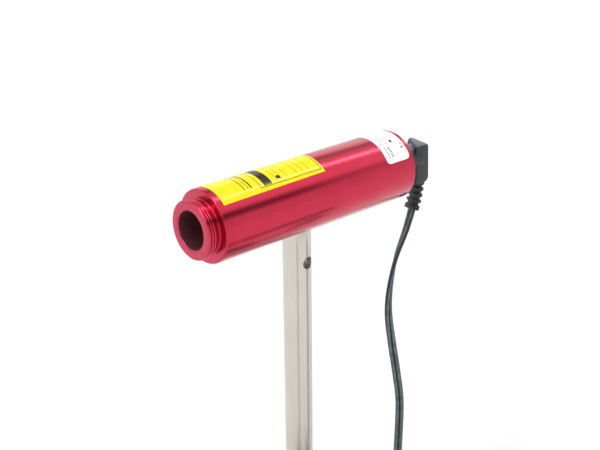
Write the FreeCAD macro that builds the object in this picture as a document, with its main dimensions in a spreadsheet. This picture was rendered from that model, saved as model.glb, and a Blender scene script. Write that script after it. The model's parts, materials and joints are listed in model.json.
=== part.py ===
"""Laser diode module on a stand rod, with its plug, lead and plug-in supply.

The origin is the centre of the stand rod's lower end. +Z is up along the rod and the beam
leaves along -Y. Turned pieces on the beam are drawn about their own Y axis and are lifted
to the beam's height by their Placement. Lengths are millimetres and angles are degrees.
"""
import FreeCAD, Part

import math
import os

import Sketcher
from FreeCAD import Placement, Rotation, Vector

doc = FreeCAD.newDocument("LaserDiodeModule")
sheet = doc.addObject("Spreadsheet::Sheet", "Sizes")

DRIVING_SIZES = [
    # tube, nose and stand rod
    ("beam_height", 150.0),
    ("tube_diameter", 25.0),
    ("tube_length", 85.0),
    ("rod_from_front", 39.6),
    ("edge_break", 0.35),
    ("nose_diameter", 20.0),
    ("nose_length", 4.8),
    ("runout_width", 0.9),
    ("runout_depth", 0.8),
    ("aperture_diameter", 13.0),
    ("bore_diameter", 18.0),
    ("front_wall", 4.0),
    ("rod_diameter", 10.0),
    ("spigot_diameter", 9.6),
    ("spigot_showing", 0.3),
    ("spot_face_gap", 0.1),
    ("spot_face_depth", 0.05),
    ("cross_hole_diameter", 4.0),
    ("cross_hole_drop", 23.6),
    ("stud_diameter", 5.0),
    ("stud_in_tube", 2.1),
    ("stud_in_rod", 10.0),
    ("stud_key", 2.5),
    # rear cap and its set screw
    ("cap_diameter", 21.6),
    ("cap_recess", 0.4),
    ("cap_flange", 2.0),
    ("cap_fit", 0.05),
    ("skirt_length", 7.0),
    ("skirt_wall", 1.4),
    ("screw_diameter", 3.0),
    ("screw_inset", 5.6),
    ("screw_key", 1.5),
    # laser module inside the tube
    ("sleeve_setback", 2.0),
    ("sleeve_length", 26.0),
    ("sleeve_land", 6.0),
    ("sleeve_relief", 0.7),
    ("slide_fit", 0.04),
    ("barrel_setback", 0.4),
    ("barrel_diameter", 12.0),
    ("barrel_length", 36.0),
    ("board_bore", 10.0),
    ("cell_setback", 0.6),
    ("cell_diameter", 9.0),
    ("cell_length", 7.0),
    ("cell_aperture", 5.0),
    ("lens_recess", 2.6),
    ("lens_diameter", 6.4),
    ("lens_thickness", 2.2),
    ("lens_curvature", 6.0),
    ("lens_to_seat", 6.6),
    ("spacer_bore", 5.2),
    ("seat_length", 2.6),
    ("base_diameter", 5.6),
    ("base_thickness", 1.2),
    ("can_diameter", 3.5),
    ("can_length", 2.3),
    ("can_wall", 0.25),
    ("window_hole", 1.6),
    ("window_thickness", 0.3),
    ("pin_wire", 0.46),
    ("pin_length", 4.0),
    ("pin_spread", 1.1),
    # driver board
    ("board_gap", 1.0),
    ("board_length", 16.0),
    ("board_width", 8.4),
    ("board_thickness", 1.0),
    ("chip_length", 4.9),
    ("chip_width", 3.9),
    ("chip_height", 1.5),
    ("trimmer_side", 3.0),
    ("trimmer_height", 1.3),
    ("capacitor_diameter", 3.0),
    ("capacitor_height", 3.2),
    ("resistor_length", 1.6),
    ("resistor_width", 0.8),
    ("resistor_height", 0.5),
    ("wire_diameter", 1.0),
    ("wire_spread", 2.0),
    # jack
    ("jack_flange_diameter", 11.0),
    ("jack_flange", 1.8),
    ("jack_thread", 8.0),
    ("jack_length", 14.0),
    ("jack_cavity", 9.8),
    ("plug_clearance", 0.08),
    ("jack_pin_diameter", 2.0),
    ("jack_pin_recess", 0.8),
    ("leaf_width", 2.0),
    ("leaf_length", 7.0),
    ("leaf_thickness", 0.2),
    ("lug_length", 3.5),
    ("lug_width", 2.0),
    ("lug_thickness", 0.4),
    ("nut_flats", 10.0),
    ("nut_thickness", 2.2),
    # plug
    ("plug_gap", 0.1),
    ("plug_turn", 3.0),
    ("sleeve_diameter", 5.5),
    ("sleeve_wall", 0.35),
    ("sleeve_reach", 9.4),
    ("sleeve_root", 3.0),
    ("contact_wall", 0.2),
    ("contact_fit", 0.05),
    ("contact_setback", 0.4),
    ("plug_depth", 13.6),
    ("boss_diameter", 9.2),
    ("boss_length", 9.6),
    ("boss_round", 1.0),
    ("block_depth", 6.6),
    ("block_width", 8.5),
    ("block_top", 5.2),
    ("block_bottom", 9.6),
    ("block_draft", 12.0),
    ("block_chamfer_depth", 1.6),
    ("block_chamfer_height", 2.3),
    ("block_edge", 0.4),
    ("relief_inset", 1.5),
    ("relief_width", 6.8),
    ("relief_thickness", 3.4),
    ("relief_core", 0.76),
    ("relief_length", 11.2),
    ("relief_lean_start", 8.0),
    ("relief_lean_end", 25.0),
    ("rib_count", 4.0),
    ("relief_root", 0.8),
    ("rib_thickness", 1.35),
    ("collar_length", 2.0),
    ("rib_edge", 0.3),
    # labels
    ("film", 0.12),
    ("yellow_setback", 2.4),
    ("yellow_length", 44.1),
    ("yellow_half_arc", 9.1),
    ("white_from_rear", 1.9),
    ("white_length", 10.8),
    ("white_half_arc", 13.7),
    ("white_corner", 1.6),
    # lead, coil and supply
    ("lead_diameter", 3.3),
    ("turn_pitch", 1.9),
    ("coil_columns", 6.0),
    ("coil_middle_radius", 19.0),
    ("tie_thickness", 0.4),
    ("tie_width", 6.0),
    ("tie_gap", 0.5),
    ("tie_angle", 215.0),
    ("supply_length", 42.0),
    ("supply_width", 32.0),
    ("supply_height", 20.0),
    ("supply_round", 3.0),
    ("supply_seam", 0.4),
    ("supply_relief_length", 10.0),
    ("supply_relief_diameter", 6.0),
    ("mains_pin_diameter", 4.0),
    ("mains_pin_length", 19.0),
    ("mains_pin_spread", 18.6),
]
for row, (alias, value) in enumerate(DRIVING_SIZES, start=1):
    sheet.set(f"A{row}", alias.replace("_", " "))
    sheet.set(f"B{row}", str(value))
    sheet.setAlias(f"B{row}", alias)
doc.recompute()


class Size:
    """A size that knows both its value and the expression that gives it in the document."""

    def __init__(self, value, text):
        self.value = value
        self.text = text

    def __neg__(self):
        return Size(-self.value, f"(-{self.text})")

    def __add__(self, other):
        other = as_size(other)
        return Size(self.value + other.value, f"({self.text} + {other.text})")

    def __sub__(self, other):
        other = as_size(other)
        return Size(self.value - other.value, f"({self.text} - {other.text})")

    def __mul__(self, other):
        other = as_size(other)
        return Size(self.value * other.value, f"({self.text} * {other.text})")

    def __truediv__(self, other):
        other = as_size(other)
        return Size(self.value / other.value, f"({self.text} / {other.text})")


def as_size(number):
    return number if isinstance(number, Size) else Size(float(number), str(float(number)))


def cell(alias):
    return Size(float(sheet.get(alias)), f"Sizes.{alias}")


def square_root(size):
    return Size(math.sqrt(size.value), f"sqrt({size.text})")


def leg(hypotenuse, other_leg):
    """The second leg of a right triangle, such as a chord's distance from its centre."""
    return square_root(hypotenuse * hypotenuse - other_leg * other_leg)


def tangent(size):
    return Size(math.tan(math.radians(size.value)), f"tan({size.text} * 1 deg)")


zero = as_size(0)
subparts = []


def keep(item, label):
    """Give a finished sub-part the label that names its file."""
    item.Label = label
    subparts.append(item)
    return item


def bind(item, **sizes):
    for name, size in sizes.items():
        item.setExpression(name, size.text)


def place(item, x=zero, y=zero, z=zero, rotation=Rotation()):
    item.Placement = Placement(Vector(x.value, y.value, z.value), rotation)
    for axis, size in zip("xyz", (x, y, z)):
        if size is not zero:
            item.setExpression(f"Placement.Base.{axis}", size.text)
    return item


# ---------------------------------------------------------------- bodies and sketches

ALONG_Y = Rotation(Vector(1, 0, 0), -90)
ALONG_X = Rotation(Vector(0, 1, 0), 90)


def new_body(label):
    return keep(doc.addObject("PartDesign::Body", label), label)


def origin_plane(body, role):
    return next(item for item in body.Origin.OriginFeatures if item.Role == role)


def outline(body, role, name, points):
    """A closed outline on one of the body's planes, each corner dimensioned from the axes."""
    sketch = body.newObject("Sketcher::SketchObject", name)
    sketch.AttachmentSupport = (origin_plane(body, role), [""])
    sketch.MapMode = "FlatFace"
    corners = [Vector(across.value, up.value, 0) for across, up in points]
    for start, end in zip(corners, corners[1:] + corners[:1]):
        sketch.addGeometry(Part.LineSegment(start, end), False)
    for index in range(len(points)):
        following = (index + 1) % len(points)
        sketch.addConstraint(Sketcher.Constraint("Coincident", index, 2, following, 1))
    for index, (across, up) in enumerate(points):
        hold(sketch, "DistanceX", index, across, -2)
        hold(sketch, "DistanceY", index, up, -1)
    return sketch


def hold(sketch, kind, index, size, axis):
    if size is zero:
        sketch.addConstraint(Sketcher.Constraint("PointOnObject", index, 1, axis))
        return
    number = sketch.addConstraint(Sketcher.Constraint(kind, -1, 1, index, 1, size.value))
    sketch.setExpression(f"Constraints[{number}]", size.text)


def turned(label, points, role="YZ_Plane", axis="H_Axis"):
    """A turned body: points are (along the axis, radius), or the reverse for a vertical axis."""
    body = new_body(label)
    sketch = outline(body, role, label + "_outline", points)
    turning = body.newObject("PartDesign::Revolution", label + "_turning")
    turning.Profile = sketch
    turning.ReferenceAxis = (sketch, [axis])
    turning.Angle = 360
    return body


def drill(body, name, radius, depth, rotation, x=zero, y=zero, z=zero):
    hole = body.newObject("PartDesign::SubtractiveCylinder", name)
    bind(hole, Radius=radius, Height=depth)
    place(hole, x, y, z, rotation)
    return hole


def pad(body, name, sketch, length):
    padding = body.newObject("PartDesign::Pad", name)
    padding.Profile = sketch
    padding.Midplane = True
    bind(padding, Length=length)
    return padding


def round_bar(name, radius, length, x=zero, y=zero, z=zero, rotation=Rotation()):
    bar = doc.addObject("Part::Cylinder", name)
    bind(bar, Radius=radius, Height=length)
    return place(bar, x, y, z, rotation)


def block(name, length, width, height, x, y, z):
    box = doc.addObject("Part::Box", name)
    bind(box, Length=length, Width=width, Height=height)
    return place(box, x, y, z)


def cut(name, base, tool):
    result = doc.addObject("Part::Cut", name)
    result.Base = base
    result.Tool = tool
    return result


def gather(name, items):
    group = doc.addObject("Part::Compound", name)
    group.Links = items
    return group


def set_screw(name, radius, length, key, x, y, z, rotation):
    """A headless screw with a hexagon socket in its outer end."""
    shank = round_bar(name + "_shank", radius, length)
    socket = doc.addObject("Part::Prism", name + "_socket")
    socket.Polygon = 6
    bind(socket, Circumradius=key / as_size(math.sqrt(3)), Height=key)
    return keep(place(cut(name, shank, socket), x, y, z, rotation), name)


def free_form(label, shape, x=0.0, y=0.0, z=0.0, rotation=Rotation()):
    feature = doc.addObject("Part::Feature", label)
    feature.Shape = shape
    feature.Placement = Placement(Vector(x, y, z), rotation)
    return keep(feature, label)


# ---------------------------------------------------------------- shared places and sizes

beam_height = cell("beam_height")
edge = cell("edge_break")
tube_radius = cell("tube_diameter") / 2
rod_radius = cell("rod_diameter") / 2
nose_radius = cell("nose_diameter") / 2
aperture_radius = cell("aperture_diameter") / 2
bore_radius = cell("bore_diameter") / 2
stud_radius = cell("stud_diameter") / 2
front = -cell("rod_from_front")
rear = front + cell("tube_length")
nose_end = front - cell("nose_length")
bore_front = front + cell("front_wall")
cap_seat_radius = cell("cap_diameter") / 2
cap_face = rear - cell("cap_recess")
cap_seat = cap_face - cell("cap_flange")
spigot_radius = cell("spigot_diameter") / 2
spot_face_radius = spigot_radius + cell("spot_face_gap")
rod_seat = leg(tube_radius, spot_face_radius) - cell("spot_face_depth")
rod_top = beam_height - rod_seat


# ---------------------------------------------------------------- housing, rod and studs

def make_housing():
    runout = front - cell("runout_width")
    runout_radius = nose_radius - cell("runout_depth")
    body = turned("housing", [
        (nose_end, aperture_radius + edge),
        (nose_end, nose_radius - edge * 2),
        (nose_end + edge * 2, nose_radius),
        (runout, nose_radius),
        (runout, runout_radius),
        (front, runout_radius),
        (front, tube_radius - edge),
        (front + edge, tube_radius),
        (rear - edge, tube_radius),
        (rear, tube_radius - edge),
        (rear, cap_seat_radius),
        (cap_seat, cap_seat_radius),
        (cap_seat, bore_radius),
        (bore_front, bore_radius),
        (bore_front, aperture_radius),
        (nose_end + edge, aperture_radius),
    ])
    drill(body, "spot_face", spot_face_radius, tube_radius, Rotation(), z=-rod_seat - tube_radius)
    drill(body, "stud_hole", stud_radius, tube_radius, Rotation(), z=-tube_radius)
    drill(body, "screw_hole", cell("screw_diameter") / 2, tube_radius, Rotation(),
          y=rear - cell("screw_inset"), z=-tube_radius)
    place(body, z=beam_height)


def make_rod():
    stud_bottom = rod_top - cell("stud_in_rod")
    shoulder = beam_height - tube_radius - cell("spigot_showing")
    body = turned("stand_rod", [
        (zero, zero),
        (rod_radius - edge, zero),
        (rod_radius, edge),
        (rod_radius, shoulder),
        (spigot_radius, shoulder),
        (spigot_radius, rod_top),
        (stud_radius, rod_top),
        (stud_radius, stud_bottom),
        (zero, stud_bottom),
    ], "XZ_Plane", "V_Axis")
    drill(body, "cross_hole", cell("cross_hole_diameter") / 2, rod_radius * 4, ALONG_X,
          x=-rod_radius * 2, z=beam_height - cell("cross_hole_drop"))


def make_studs():
    stud_length = cell("stud_in_tube") + cell("stud_in_rod")
    set_screw("rod_stud", stud_radius, stud_length, cell("stud_key"),
              zero, zero, rod_top - cell("stud_in_rod"), Rotation())
    skirt_radius = bore_radius - cell("cap_fit")
    screw_outer = leg(tube_radius, cell("screw_diameter") / 2)
    set_screw("cap_screw", cell("screw_diameter") / 2, screw_outer - skirt_radius, cell("screw_key"),
              zero, rear - cell("screw_inset"), beam_height - screw_outer, Rotation())


def make_rear_cap():
    skirt_radius = bore_radius - cell("cap_fit")
    skirt_bore = skirt_radius - cell("skirt_wall")
    skirt_end = cap_seat - cell("skirt_length")
    jack_radius = cell("jack_thread") / 2
    flange_radius = cap_seat_radius - cell("cap_fit")
    body = turned("rear_cap", [
        (cap_face, jack_radius),
        (cap_face, flange_radius - edge),
        (cap_face - edge, flange_radius),
        (cap_seat, flange_radius),
        (cap_seat, skirt_radius),
        (skirt_end, skirt_radius),
        (skirt_end, skirt_bore),
        (cap_seat, skirt_bore),
        (cap_seat, jack_radius),
    ])
    place(body, z=beam_height)


# ---------------------------------------------------------------- laser module

barrel_front = bore_front + cell("barrel_setback")
barrel_radius = cell("barrel_diameter") / 2
barrel_rear = barrel_front + cell("barrel_length")
cell_radius = cell("cell_diameter") / 2
cell_front = barrel_front + cell("cell_setback")
cell_rear = cell_front + cell("cell_length")
lens_step = cell_rear - cell("lens_recess")
lens_radius = cell("lens_diameter") / 2
curvature = cell("lens_curvature")
lens_front = lens_step - (curvature - leg(curvature, cell("cell_aperture") / 2))
lens_rear = lens_front + cell("lens_thickness")
seat_front = lens_rear + cell("lens_to_seat")
seat_rear = seat_front + cell("seat_length")
base_front = seat_rear - cell("base_thickness")
base_radius = cell("base_diameter") / 2
can_radius = cell("can_diameter") / 2
can_front = base_front - cell("can_length")
board_bore_radius = cell("board_bore") / 2
board_front = seat_rear + cell("board_gap")
board_rear = board_front + cell("board_length")
board_top = cell("board_thickness") / 2


def make_sleeve():
    start = bore_front + cell("sleeve_setback")
    end = start + cell("sleeve_length")
    outer = bore_radius
    waist = outer - cell("sleeve_relief")
    land = cell("sleeve_land")
    inner = barrel_radius
    body = turned("module_sleeve", [
        (start, inner),
        (start, outer - edge),
        (start + edge, outer),
        (start + land, outer),
        (start + land, waist),
        (end - land, waist),
        (end - land, outer),
        (end - edge, outer),
        (end, outer - edge),
        (end, inner),
    ])
    place(body, z=beam_height)


def make_barrel():
    body = turned("module_barrel", [
        (barrel_front, cell_radius),
        (barrel_front, barrel_radius - edge),
        (barrel_front + edge, barrel_radius),
        (barrel_rear - edge, barrel_radius),
        (barrel_rear, barrel_radius - edge),
        (barrel_rear, board_bore_radius),
        (seat_front, board_bore_radius),
        (seat_front, cell_radius),
    ])
    place(body, z=beam_height)


def make_lens_cell():
    aperture = cell("cell_aperture") / 2
    recess = lens_radius + cell("slide_fit")
    body = turned("lens_cell", [
        (cell_front, aperture + edge * 2),
        (cell_front, cell_radius),
        (cell_rear, cell_radius),
        (cell_rear, recess),
        (lens_step, recess),
        (lens_step, aperture),
        (cell_front + edge * 2, aperture),
    ])
    place(body, z=beam_height)


def make_lens():
    """A plano-convex lens: its curved face rests on the edge of the cell's aperture."""
    rim = round_bar("lens_rim", lens_radius, cell("lens_thickness"), rotation=ALONG_Y)
    ball = doc.addObject("Part::Sphere", "lens_ball")
    bind(ball, Radius=curvature)
    place(ball, y=curvature)
    lens = doc.addObject("Part::Common", "collimating_lens")
    lens.Base = rim
    lens.Tool = ball
    keep(place(lens, y=lens_front, z=beam_height), "collimating_lens")


def make_spacer():
    """The tube between lens and diode: its nose keeps the lens in the cell's recess."""
    nose = lens_radius - cell("slide_fit")
    outer = cell_radius - cell("slide_fit")
    bore = cell("spacer_bore") / 2
    body = turned("lens_spacer", [
        (lens_rear, bore),
        (lens_rear, nose),
        (cell_rear, nose),
        (cell_rear, outer),
        (seat_front, outer),
        (seat_front, bore),
    ])
    place(body, z=beam_height)


def make_diode():
    window_radius = cell("window_hole") / 2
    can_bore = can_radius - cell("can_wall")
    inner_front = can_front + cell("can_wall")
    seat = turned("diode_seat", [
        (seat_front, can_radius + cell("slide_fit")),
        (seat_front, board_bore_radius),
        (seat_rear, board_bore_radius),
        (seat_rear, base_radius),
        (base_front, base_radius),
        (base_front, can_radius + cell("slide_fit")),
    ])
    can = turned("diode_can", [
        (can_front, window_radius),
        (can_front, can_radius),
        (base_front, can_radius),
        (base_front, base_radius),
        (seat_rear, base_radius),
        (seat_rear, zero),
        (base_front, zero),
        (base_front, can_bore),
        (inner_front, can_bore),
        (inner_front, window_radius),
    ])
    for body in (seat, can):
        place(body, z=beam_height)
    keep(round_bar("diode_window", can_bore, cell("window_thickness"),
                   y=inner_front, z=beam_height, rotation=ALONG_Y), "diode_window")
    wire_radius = cell("pin_wire") / 2
    spread = cell("pin_spread")
    height = board_top + wire_radius
    pins = [
        round_bar(f"diode_pin_{number}", wire_radius, cell("pin_length"),
                  x=across, y=seat_rear, z=beam_height + up, rotation=ALONG_Y)
        for number, (across, up) in enumerate([(-spread, height), (spread, height), (zero, -height)])
    ]
    keep(gather("diode_pins", pins), "diode_pins")


def make_board():
    width = cell("board_width")
    board = block("driver_board", width, cell("board_length"), cell("board_thickness"),
                  -width / 2, board_front, beam_height - board_top)
    keep(board, "driver_board")
    on_top = beam_height + board_top
    chip = block("driver_chip", cell("chip_width"), cell("chip_length"), cell("chip_height"),
                 -cell("chip_width") / 2, board_front + cell("pin_length"), on_top)
    keep(chip, "driver_chip")
    after_chip = board_front + cell("pin_length") + cell("chip_length") + cell("board_gap")
    side = cell("trimmer_side")
    trimmer = block("trim_pot", side, side, cell("trimmer_height"), zero, after_chip, on_top)
    keep(trimmer, "trim_pot")
    radius = cell("capacitor_diameter") / 2
    capacitor = round_bar("board_capacitor", radius, cell("capacitor_height"),
                          x=-radius, y=after_chip + radius, z=on_top)
    keep(capacitor, "board_capacitor")
    length = cell("resistor_length")
    below = beam_height - board_top - cell("resistor_height")
    resistors = [
        block(f"resistor_{number}", length, cell("resistor_width"), cell("resistor_height"),
              -length / 2, after_chip - length * number, below)
        for number in range(3)
    ]
    keep(gather("board_resistors", resistors), "board_resistors")


# ---------------------------------------------------------------- jack

flange_face = cap_face + cell("jack_flange")
jack_rear = cap_face - cell("jack_length")
cavity_end = flange_face - cell("jack_cavity")
sleeve_radius = cell("sleeve_diameter") / 2
jack_pin_radius = cell("jack_pin_diameter") / 2


def make_jack():
    thread_radius = cell("jack_thread") / 2
    flange_radius = cell("jack_flange_diameter") / 2
    cavity_radius = sleeve_radius + cell("plug_clearance")
    jack = turned("power_jack", [
        (flange_face, cavity_radius + edge),
        (flange_face, flange_radius - edge),
        (flange_face - edge, flange_radius),
        (cap_face, flange_radius),
        (cap_face, thread_radius),
        (jack_rear, thread_radius),
        (jack_rear, jack_pin_radius),
        (cavity_end, jack_pin_radius),
        (cavity_end, cavity_radius),
        (flange_face - edge, cavity_radius),
    ])
    thickness = cell("leaf_thickness")
    slot_height = thickness * 3
    slot = jack.newObject("PartDesign::SubtractiveBox", "leaf_slot")
    bind(slot, Length=cell("leaf_width"), Width=cell("leaf_length"),
         Height=cavity_radius / 2 + slot_height)
    place(slot, -cell("leaf_width") / 2, cavity_end, cavity_radius / 2)
    place(jack, z=beam_height)
    leaf = new_body("jack_leaf")
    belly = cavity_end + cell("leaf_length") / 2
    tip = cavity_end + cell("leaf_length")
    lift = sleeve_radius + thickness
    strip = outline(leaf, "YZ_Plane", "jack_leaf_outline", [
        (cavity_end, lift),
        (belly, sleeve_radius),
        (tip, lift),
        (tip, lift + thickness),
        (belly, sleeve_radius + thickness),
        (cavity_end, lift + thickness),
    ])
    pad(leaf, "jack_leaf_strip", strip, cell("leaf_width"))
    place(leaf, z=beam_height)
    tail = cell("lug_length") / 2
    pin_length = flange_face - cell("jack_pin_recess") - jack_rear + tail
    keep(round_bar("jack_pin", jack_pin_radius, pin_length,
                   y=jack_rear - tail, z=beam_height, rotation=ALONG_Y), "jack_pin")
    hexagon = doc.addObject("Part::Prism", "nut_hexagon")
    hexagon.Polygon = 6
    bind(hexagon, Circumradius=cell("nut_flats") / as_size(math.sqrt(3)), Height=cell("nut_thickness"))
    hole = round_bar("nut_hole", thread_radius, cell("nut_thickness"))
    nut = cut("jack_nut", hexagon, hole)
    keep(place(nut, y=cap_seat - cell("nut_thickness"), z=beam_height, rotation=ALONG_Y), "jack_nut")
    lugs = [
        block(f"lug_{name}", cell("lug_thickness"), cell("lug_length"), cell("lug_width"),
              side - cell("lug_thickness") / 2, jack_rear - cell("lug_length"),
              beam_height - cell("lug_width") / 2)
        for name, side in (("left", -cell("wire_spread")), ("right", cell("wire_spread")))
    ]
    keep(gather("jack_terminals", lugs), "jack_terminals")


# ---------------------------------------------------------------- plug

plug_front = flange_face + cell("plug_gap")
plug_back = plug_front + cell("plug_depth")


def make_plug_barrel():
    tip = plug_front - cell("sleeve_reach")
    root = plug_front + cell("sleeve_root")
    setback = cell("contact_setback")
    lining_radius = sleeve_radius - cell("sleeve_wall")
    contact_bore = jack_pin_radius + cell("contact_fit")
    contact_radius = contact_bore + cell("contact_wall")
    rings = [
        ("plug_sleeve", tip, lining_radius, sleeve_radius),
        ("plug_insulator", tip + setback, contact_radius, lining_radius),
        ("plug_contact", tip + setback, contact_bore, contact_radius),
    ]
    for label, start, inner, outer in rings:
        ring = turned(label, [(start, inner), (start, outer), (root, outer), (root, inner)])
        place(ring, z=beam_height)


def relief_station(distance):
    """The place on the strain relief's bent axis, and how far the axis leans there."""
    start = math.radians(cell("relief_lean_start").value)
    end = math.radians(cell("relief_lean_end").value)
    bend_radius = cell("relief_length").value / (end - start)
    lean = start + distance / bend_radius
    y = plug_back.value - cell("relief_inset").value - bend_radius * (math.cos(start) - math.cos(lean))
    z = -cell("block_bottom").value - bend_radius * (math.sin(lean) - math.sin(start))
    return Vector(0, y, z), math.degrees(lean)


def oval(width, thickness, distance):
    """An oval section of the strain relief, square to its axis."""
    centre, lean = relief_station(distance)
    ellipse = Part.Ellipse(Vector(), width / 2, thickness / 2)
    wire = Part.Wire(ellipse.toShape())
    wire.Placement = Placement(centre, Rotation(Vector(1, 0, 0), 180 - lean))
    return wire


def relief_parts():
    """The core, the ribs and the end collar of the strain relief, lofted between ovals."""
    width = cell("relief_width").value
    thickness = cell("relief_thickness").value
    core = cell("relief_core").value
    length = cell("relief_length").value
    collar = cell("collar_length").value
    rib_edge = cell("rib_edge").value
    count = round(cell("rib_count").value)
    steps = 2 * count
    stations = [-cell("relief_root").value] + [length * step / steps for step in range(1, steps + 1)]
    sections = [oval(width * core, thickness * core, distance) for distance in stations]
    parts = [Part.makeLoft(sections, True, False)]
    waist = 1 - 2 * rib_edge / thickness
    pitch = (length - collar) / count
    ribs = [(number * pitch, cell("rib_thickness").value) for number in range(count)]
    for start, rib_length in ribs + [(length - collar, collar)]:
        end = start + rib_length
        parts.append(Part.makeLoft([
            oval(width * waist, thickness * waist, start),
            oval(width, thickness, start + rib_edge),
            oval(width, thickness, end - rib_edge),
            oval(width * waist, thickness * waist, end),
        ], True, True))
    return parts


def make_plug_moulding():
    """Block, round boss and ribbed strain relief, moulded in one round the barrel's root."""
    body = doc.addObject("PartDesign::Body", "plug_body")
    back = plug_back
    block_front = back - cell("block_depth")
    top = cell("block_top")
    bottom = -cell("block_bottom")
    slope = tangent(cell("block_draft"))
    side = outline(body, "YZ_Plane", "block_side", [
        (block_front, top - cell("block_depth") * slope),
        (back, top),
        (back, bottom + cell("block_chamfer_height")),
        (back - cell("block_chamfer_depth"), bottom),
        (block_front, bottom),
    ])
    pad(body, "block_pad", side, cell("block_width"))
    half = cell("block_width") / 2
    reach = cell("block_width")
    narrowing = cell("block_depth") * slope
    for name, sign in (("left", -1), ("right", 1)):
        plan = outline(body, "XY_Plane", f"block_{name}_plan", [
            (half * sign, back),
            ((half - narrowing) * sign, block_front),
            ((half + reach) * sign, block_front),
            ((half + reach) * sign, back),
        ])
        taper = body.newObject("PartDesign::Pocket", f"block_{name}_taper")
        taper.Profile = plan
        taper.Midplane = True
        bind(taper, Length=(top - bottom) * 3)
    boss_radius = cell("boss_diameter") / 2
    boss_round = cell("boss_round")
    boss = outline(body, "YZ_Plane", "boss_side", [
        (plug_front, zero),
        (plug_front, boss_radius - edge),
        (plug_front + edge, boss_radius),
        (plug_front + cell("boss_length") - boss_round, boss_radius),
        (plug_front + cell("boss_length"), boss_radius - boss_round),
        (plug_front + cell("boss_length"), zero),
    ])
    turning = body.newObject("PartDesign::Revolution", "boss_turning")
    turning.Profile = boss
    turning.ReferenceAxis = (boss, ["H_Axis"])
    turning.Angle = 360
    drill(body, "barrel_socket", sleeve_radius, cell("sleeve_root"), ALONG_Y, y=plug_front)
    parts = [body]
    for number, shape in enumerate(relief_parts()):
        piece = doc.addObject("Part::Feature", f"relief_{number}")
        piece.Shape = shape
        parts.append(piece)
    moulding = doc.addObject("Part::MultiFuse", "plug_moulding")
    moulding.Shapes = parts
    keep(place(moulding, z=beam_height, rotation=plug_rotation), "plug_moulding")


plug_rotation = Rotation(Vector(0, 1, 0), -cell("plug_turn").value)


# ---------------------------------------------------------------- labels

def wrapped_film(label, start, end, half_arc, corner=None):
    """A printed film that lies round the top of the tube, with its corners rounded if asked."""
    film_radius = tube_radius + cell("film")
    body = new_body(label)
    strip = outline(body, "YZ_Plane", label + "_strip", [
        (start, tube_radius),
        (end, tube_radius),
        (end, film_radius),
        (start, film_radius),
    ])
    wrap = body.newObject("PartDesign::Revolution", label + "_wrap")
    wrap.Profile = strip
    wrap.ReferenceAxis = (strip, ["H_Axis"])
    wrap.Midplane = True
    bind(wrap, Angle=half_arc / tube_radius * (2 * math.degrees(1)))
    if corner:
        doc.recompute()
        thickness = cell("film").value
        short_edges = [f"Edge{number}" for number, line in enumerate(wrap.Shape.Edges, start=1)
                       if abs(line.Length - thickness) < thickness / 10]
        rounding = body.newObject("PartDesign::Fillet", label + "_corners")
        rounding.Base = (wrap, short_edges)
        bind(rounding, Radius=corner)
    place(body, z=beam_height)


def make_labels():
    yellow_start = front + cell("yellow_setback")
    wrapped_film("yellow_label", yellow_start, yellow_start + cell("yellow_length"),
                 cell("yellow_half_arc"))
    white_end = rear - cell("white_from_rear")
    wrapped_film("white_label", white_end - cell("white_length"), white_end,
                 cell("white_half_arc"), cell("white_corner"))


# ---------------------------------------------------------------- leads and wires

lead_radius = cell("lead_diameter").value / 2
row_height = 2 * lead_radius
bottom_row = cell("tie_thickness").value + lead_radius
turn_pitch = cell("turn_pitch").value
coil_width = turn_pitch * cell("coil_columns").value
coil_inner = cell("coil_middle_radius").value - coil_width / 2
coil_outer = coil_inner + coil_width
outer_turn = coil_outer - turn_pitch / 2
coil_stub = math.sqrt(coil_outer ** 2 - (outer_turn - lead_radius) ** 2)

# The lead's route below its strain relief: it hangs, bends on to the floor and meets the coil.
LEAD_POINTS = [
    (1.4, 52.6, 122.9),
    (1.2, 47.5, 113.4),
    (1.3, 44.2, 102.6),
    (1.5, 43.3, 92.2),
    (1.9, 45.3, 79.5),
    (2.6, 48.3, 64.0),
    (3.3, 50.1, 51.5),
    (4.1, 48.9, 38.8),
    (4.9, 47.3, 27.4),
    (6.6, 47.3, 17.0),
    (11.6, 48.4, 8.2),
    (19.4, 50.0, 3.3),
    (28.4, 51.1, bottom_row),
    (37.2, 51.1, bottom_row),
]
# The stretch from the coil's upper row to the supply.
TAIL_POINTS = [
    (72.0, 9.4, 5.35),
    (72.1, 1.2, 3.4),
    (72.1, -7.0, 2.2),
    (72.0, -15.6, 3.8),
    (67.4, -23.4, 7.0),
    (59.6, -28.0, 10.0),
    (50.5, -28.0, 10.0),
]
coil_centre = Vector(*LEAD_POINTS[-1][:2], 0) + Vector(coil_stub, -outer_turn, 0)


def lead_route():
    tip, lean = relief_station(cell("relief_length").value)
    start = plug_rotation.multVec(tip) + Vector(0, 0, beam_height.value)
    return [start] + [Vector(*point) for point in LEAD_POINTS]


def tail_route():
    start = coil_centre + Vector(outer_turn, -coil_stub, bottom_row + row_height)
    return [start] + [Vector(*point) for point in TAIL_POINTS]


def rounded_path(points):
    """Straight runs joined by arcs as large as the two runs at each point allow."""
    edges = []
    radii = []
    start = points[0]
    for before, here, after in zip(points, points[1:], points[2:]):
        into = (here - before).normalize()
        out = (after - here).normalize()
        half_turn = into.getAngle(out) / 2
        setback = 0.45 * min((here - before).Length, (after - here).Length)
        radii.append(setback / math.tan(half_turn))
        arc_start = here - into * setback
        arc_end = here + out * setback
        towards_centre = (out - into).normalize()
        centre = here + towards_centre * (radii[-1] / math.cos(half_turn))
        middle = centre - towards_centre * radii[-1]
        edges.append(Part.LineSegment(start, arc_start).toShape())
        edges.append(Part.Arc(arc_start, middle, arc_end).toShape())
        start = arc_end
    edges.append(Part.LineSegment(start, points[-1]).toShape())
    return Part.Wire(edges), radii


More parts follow.
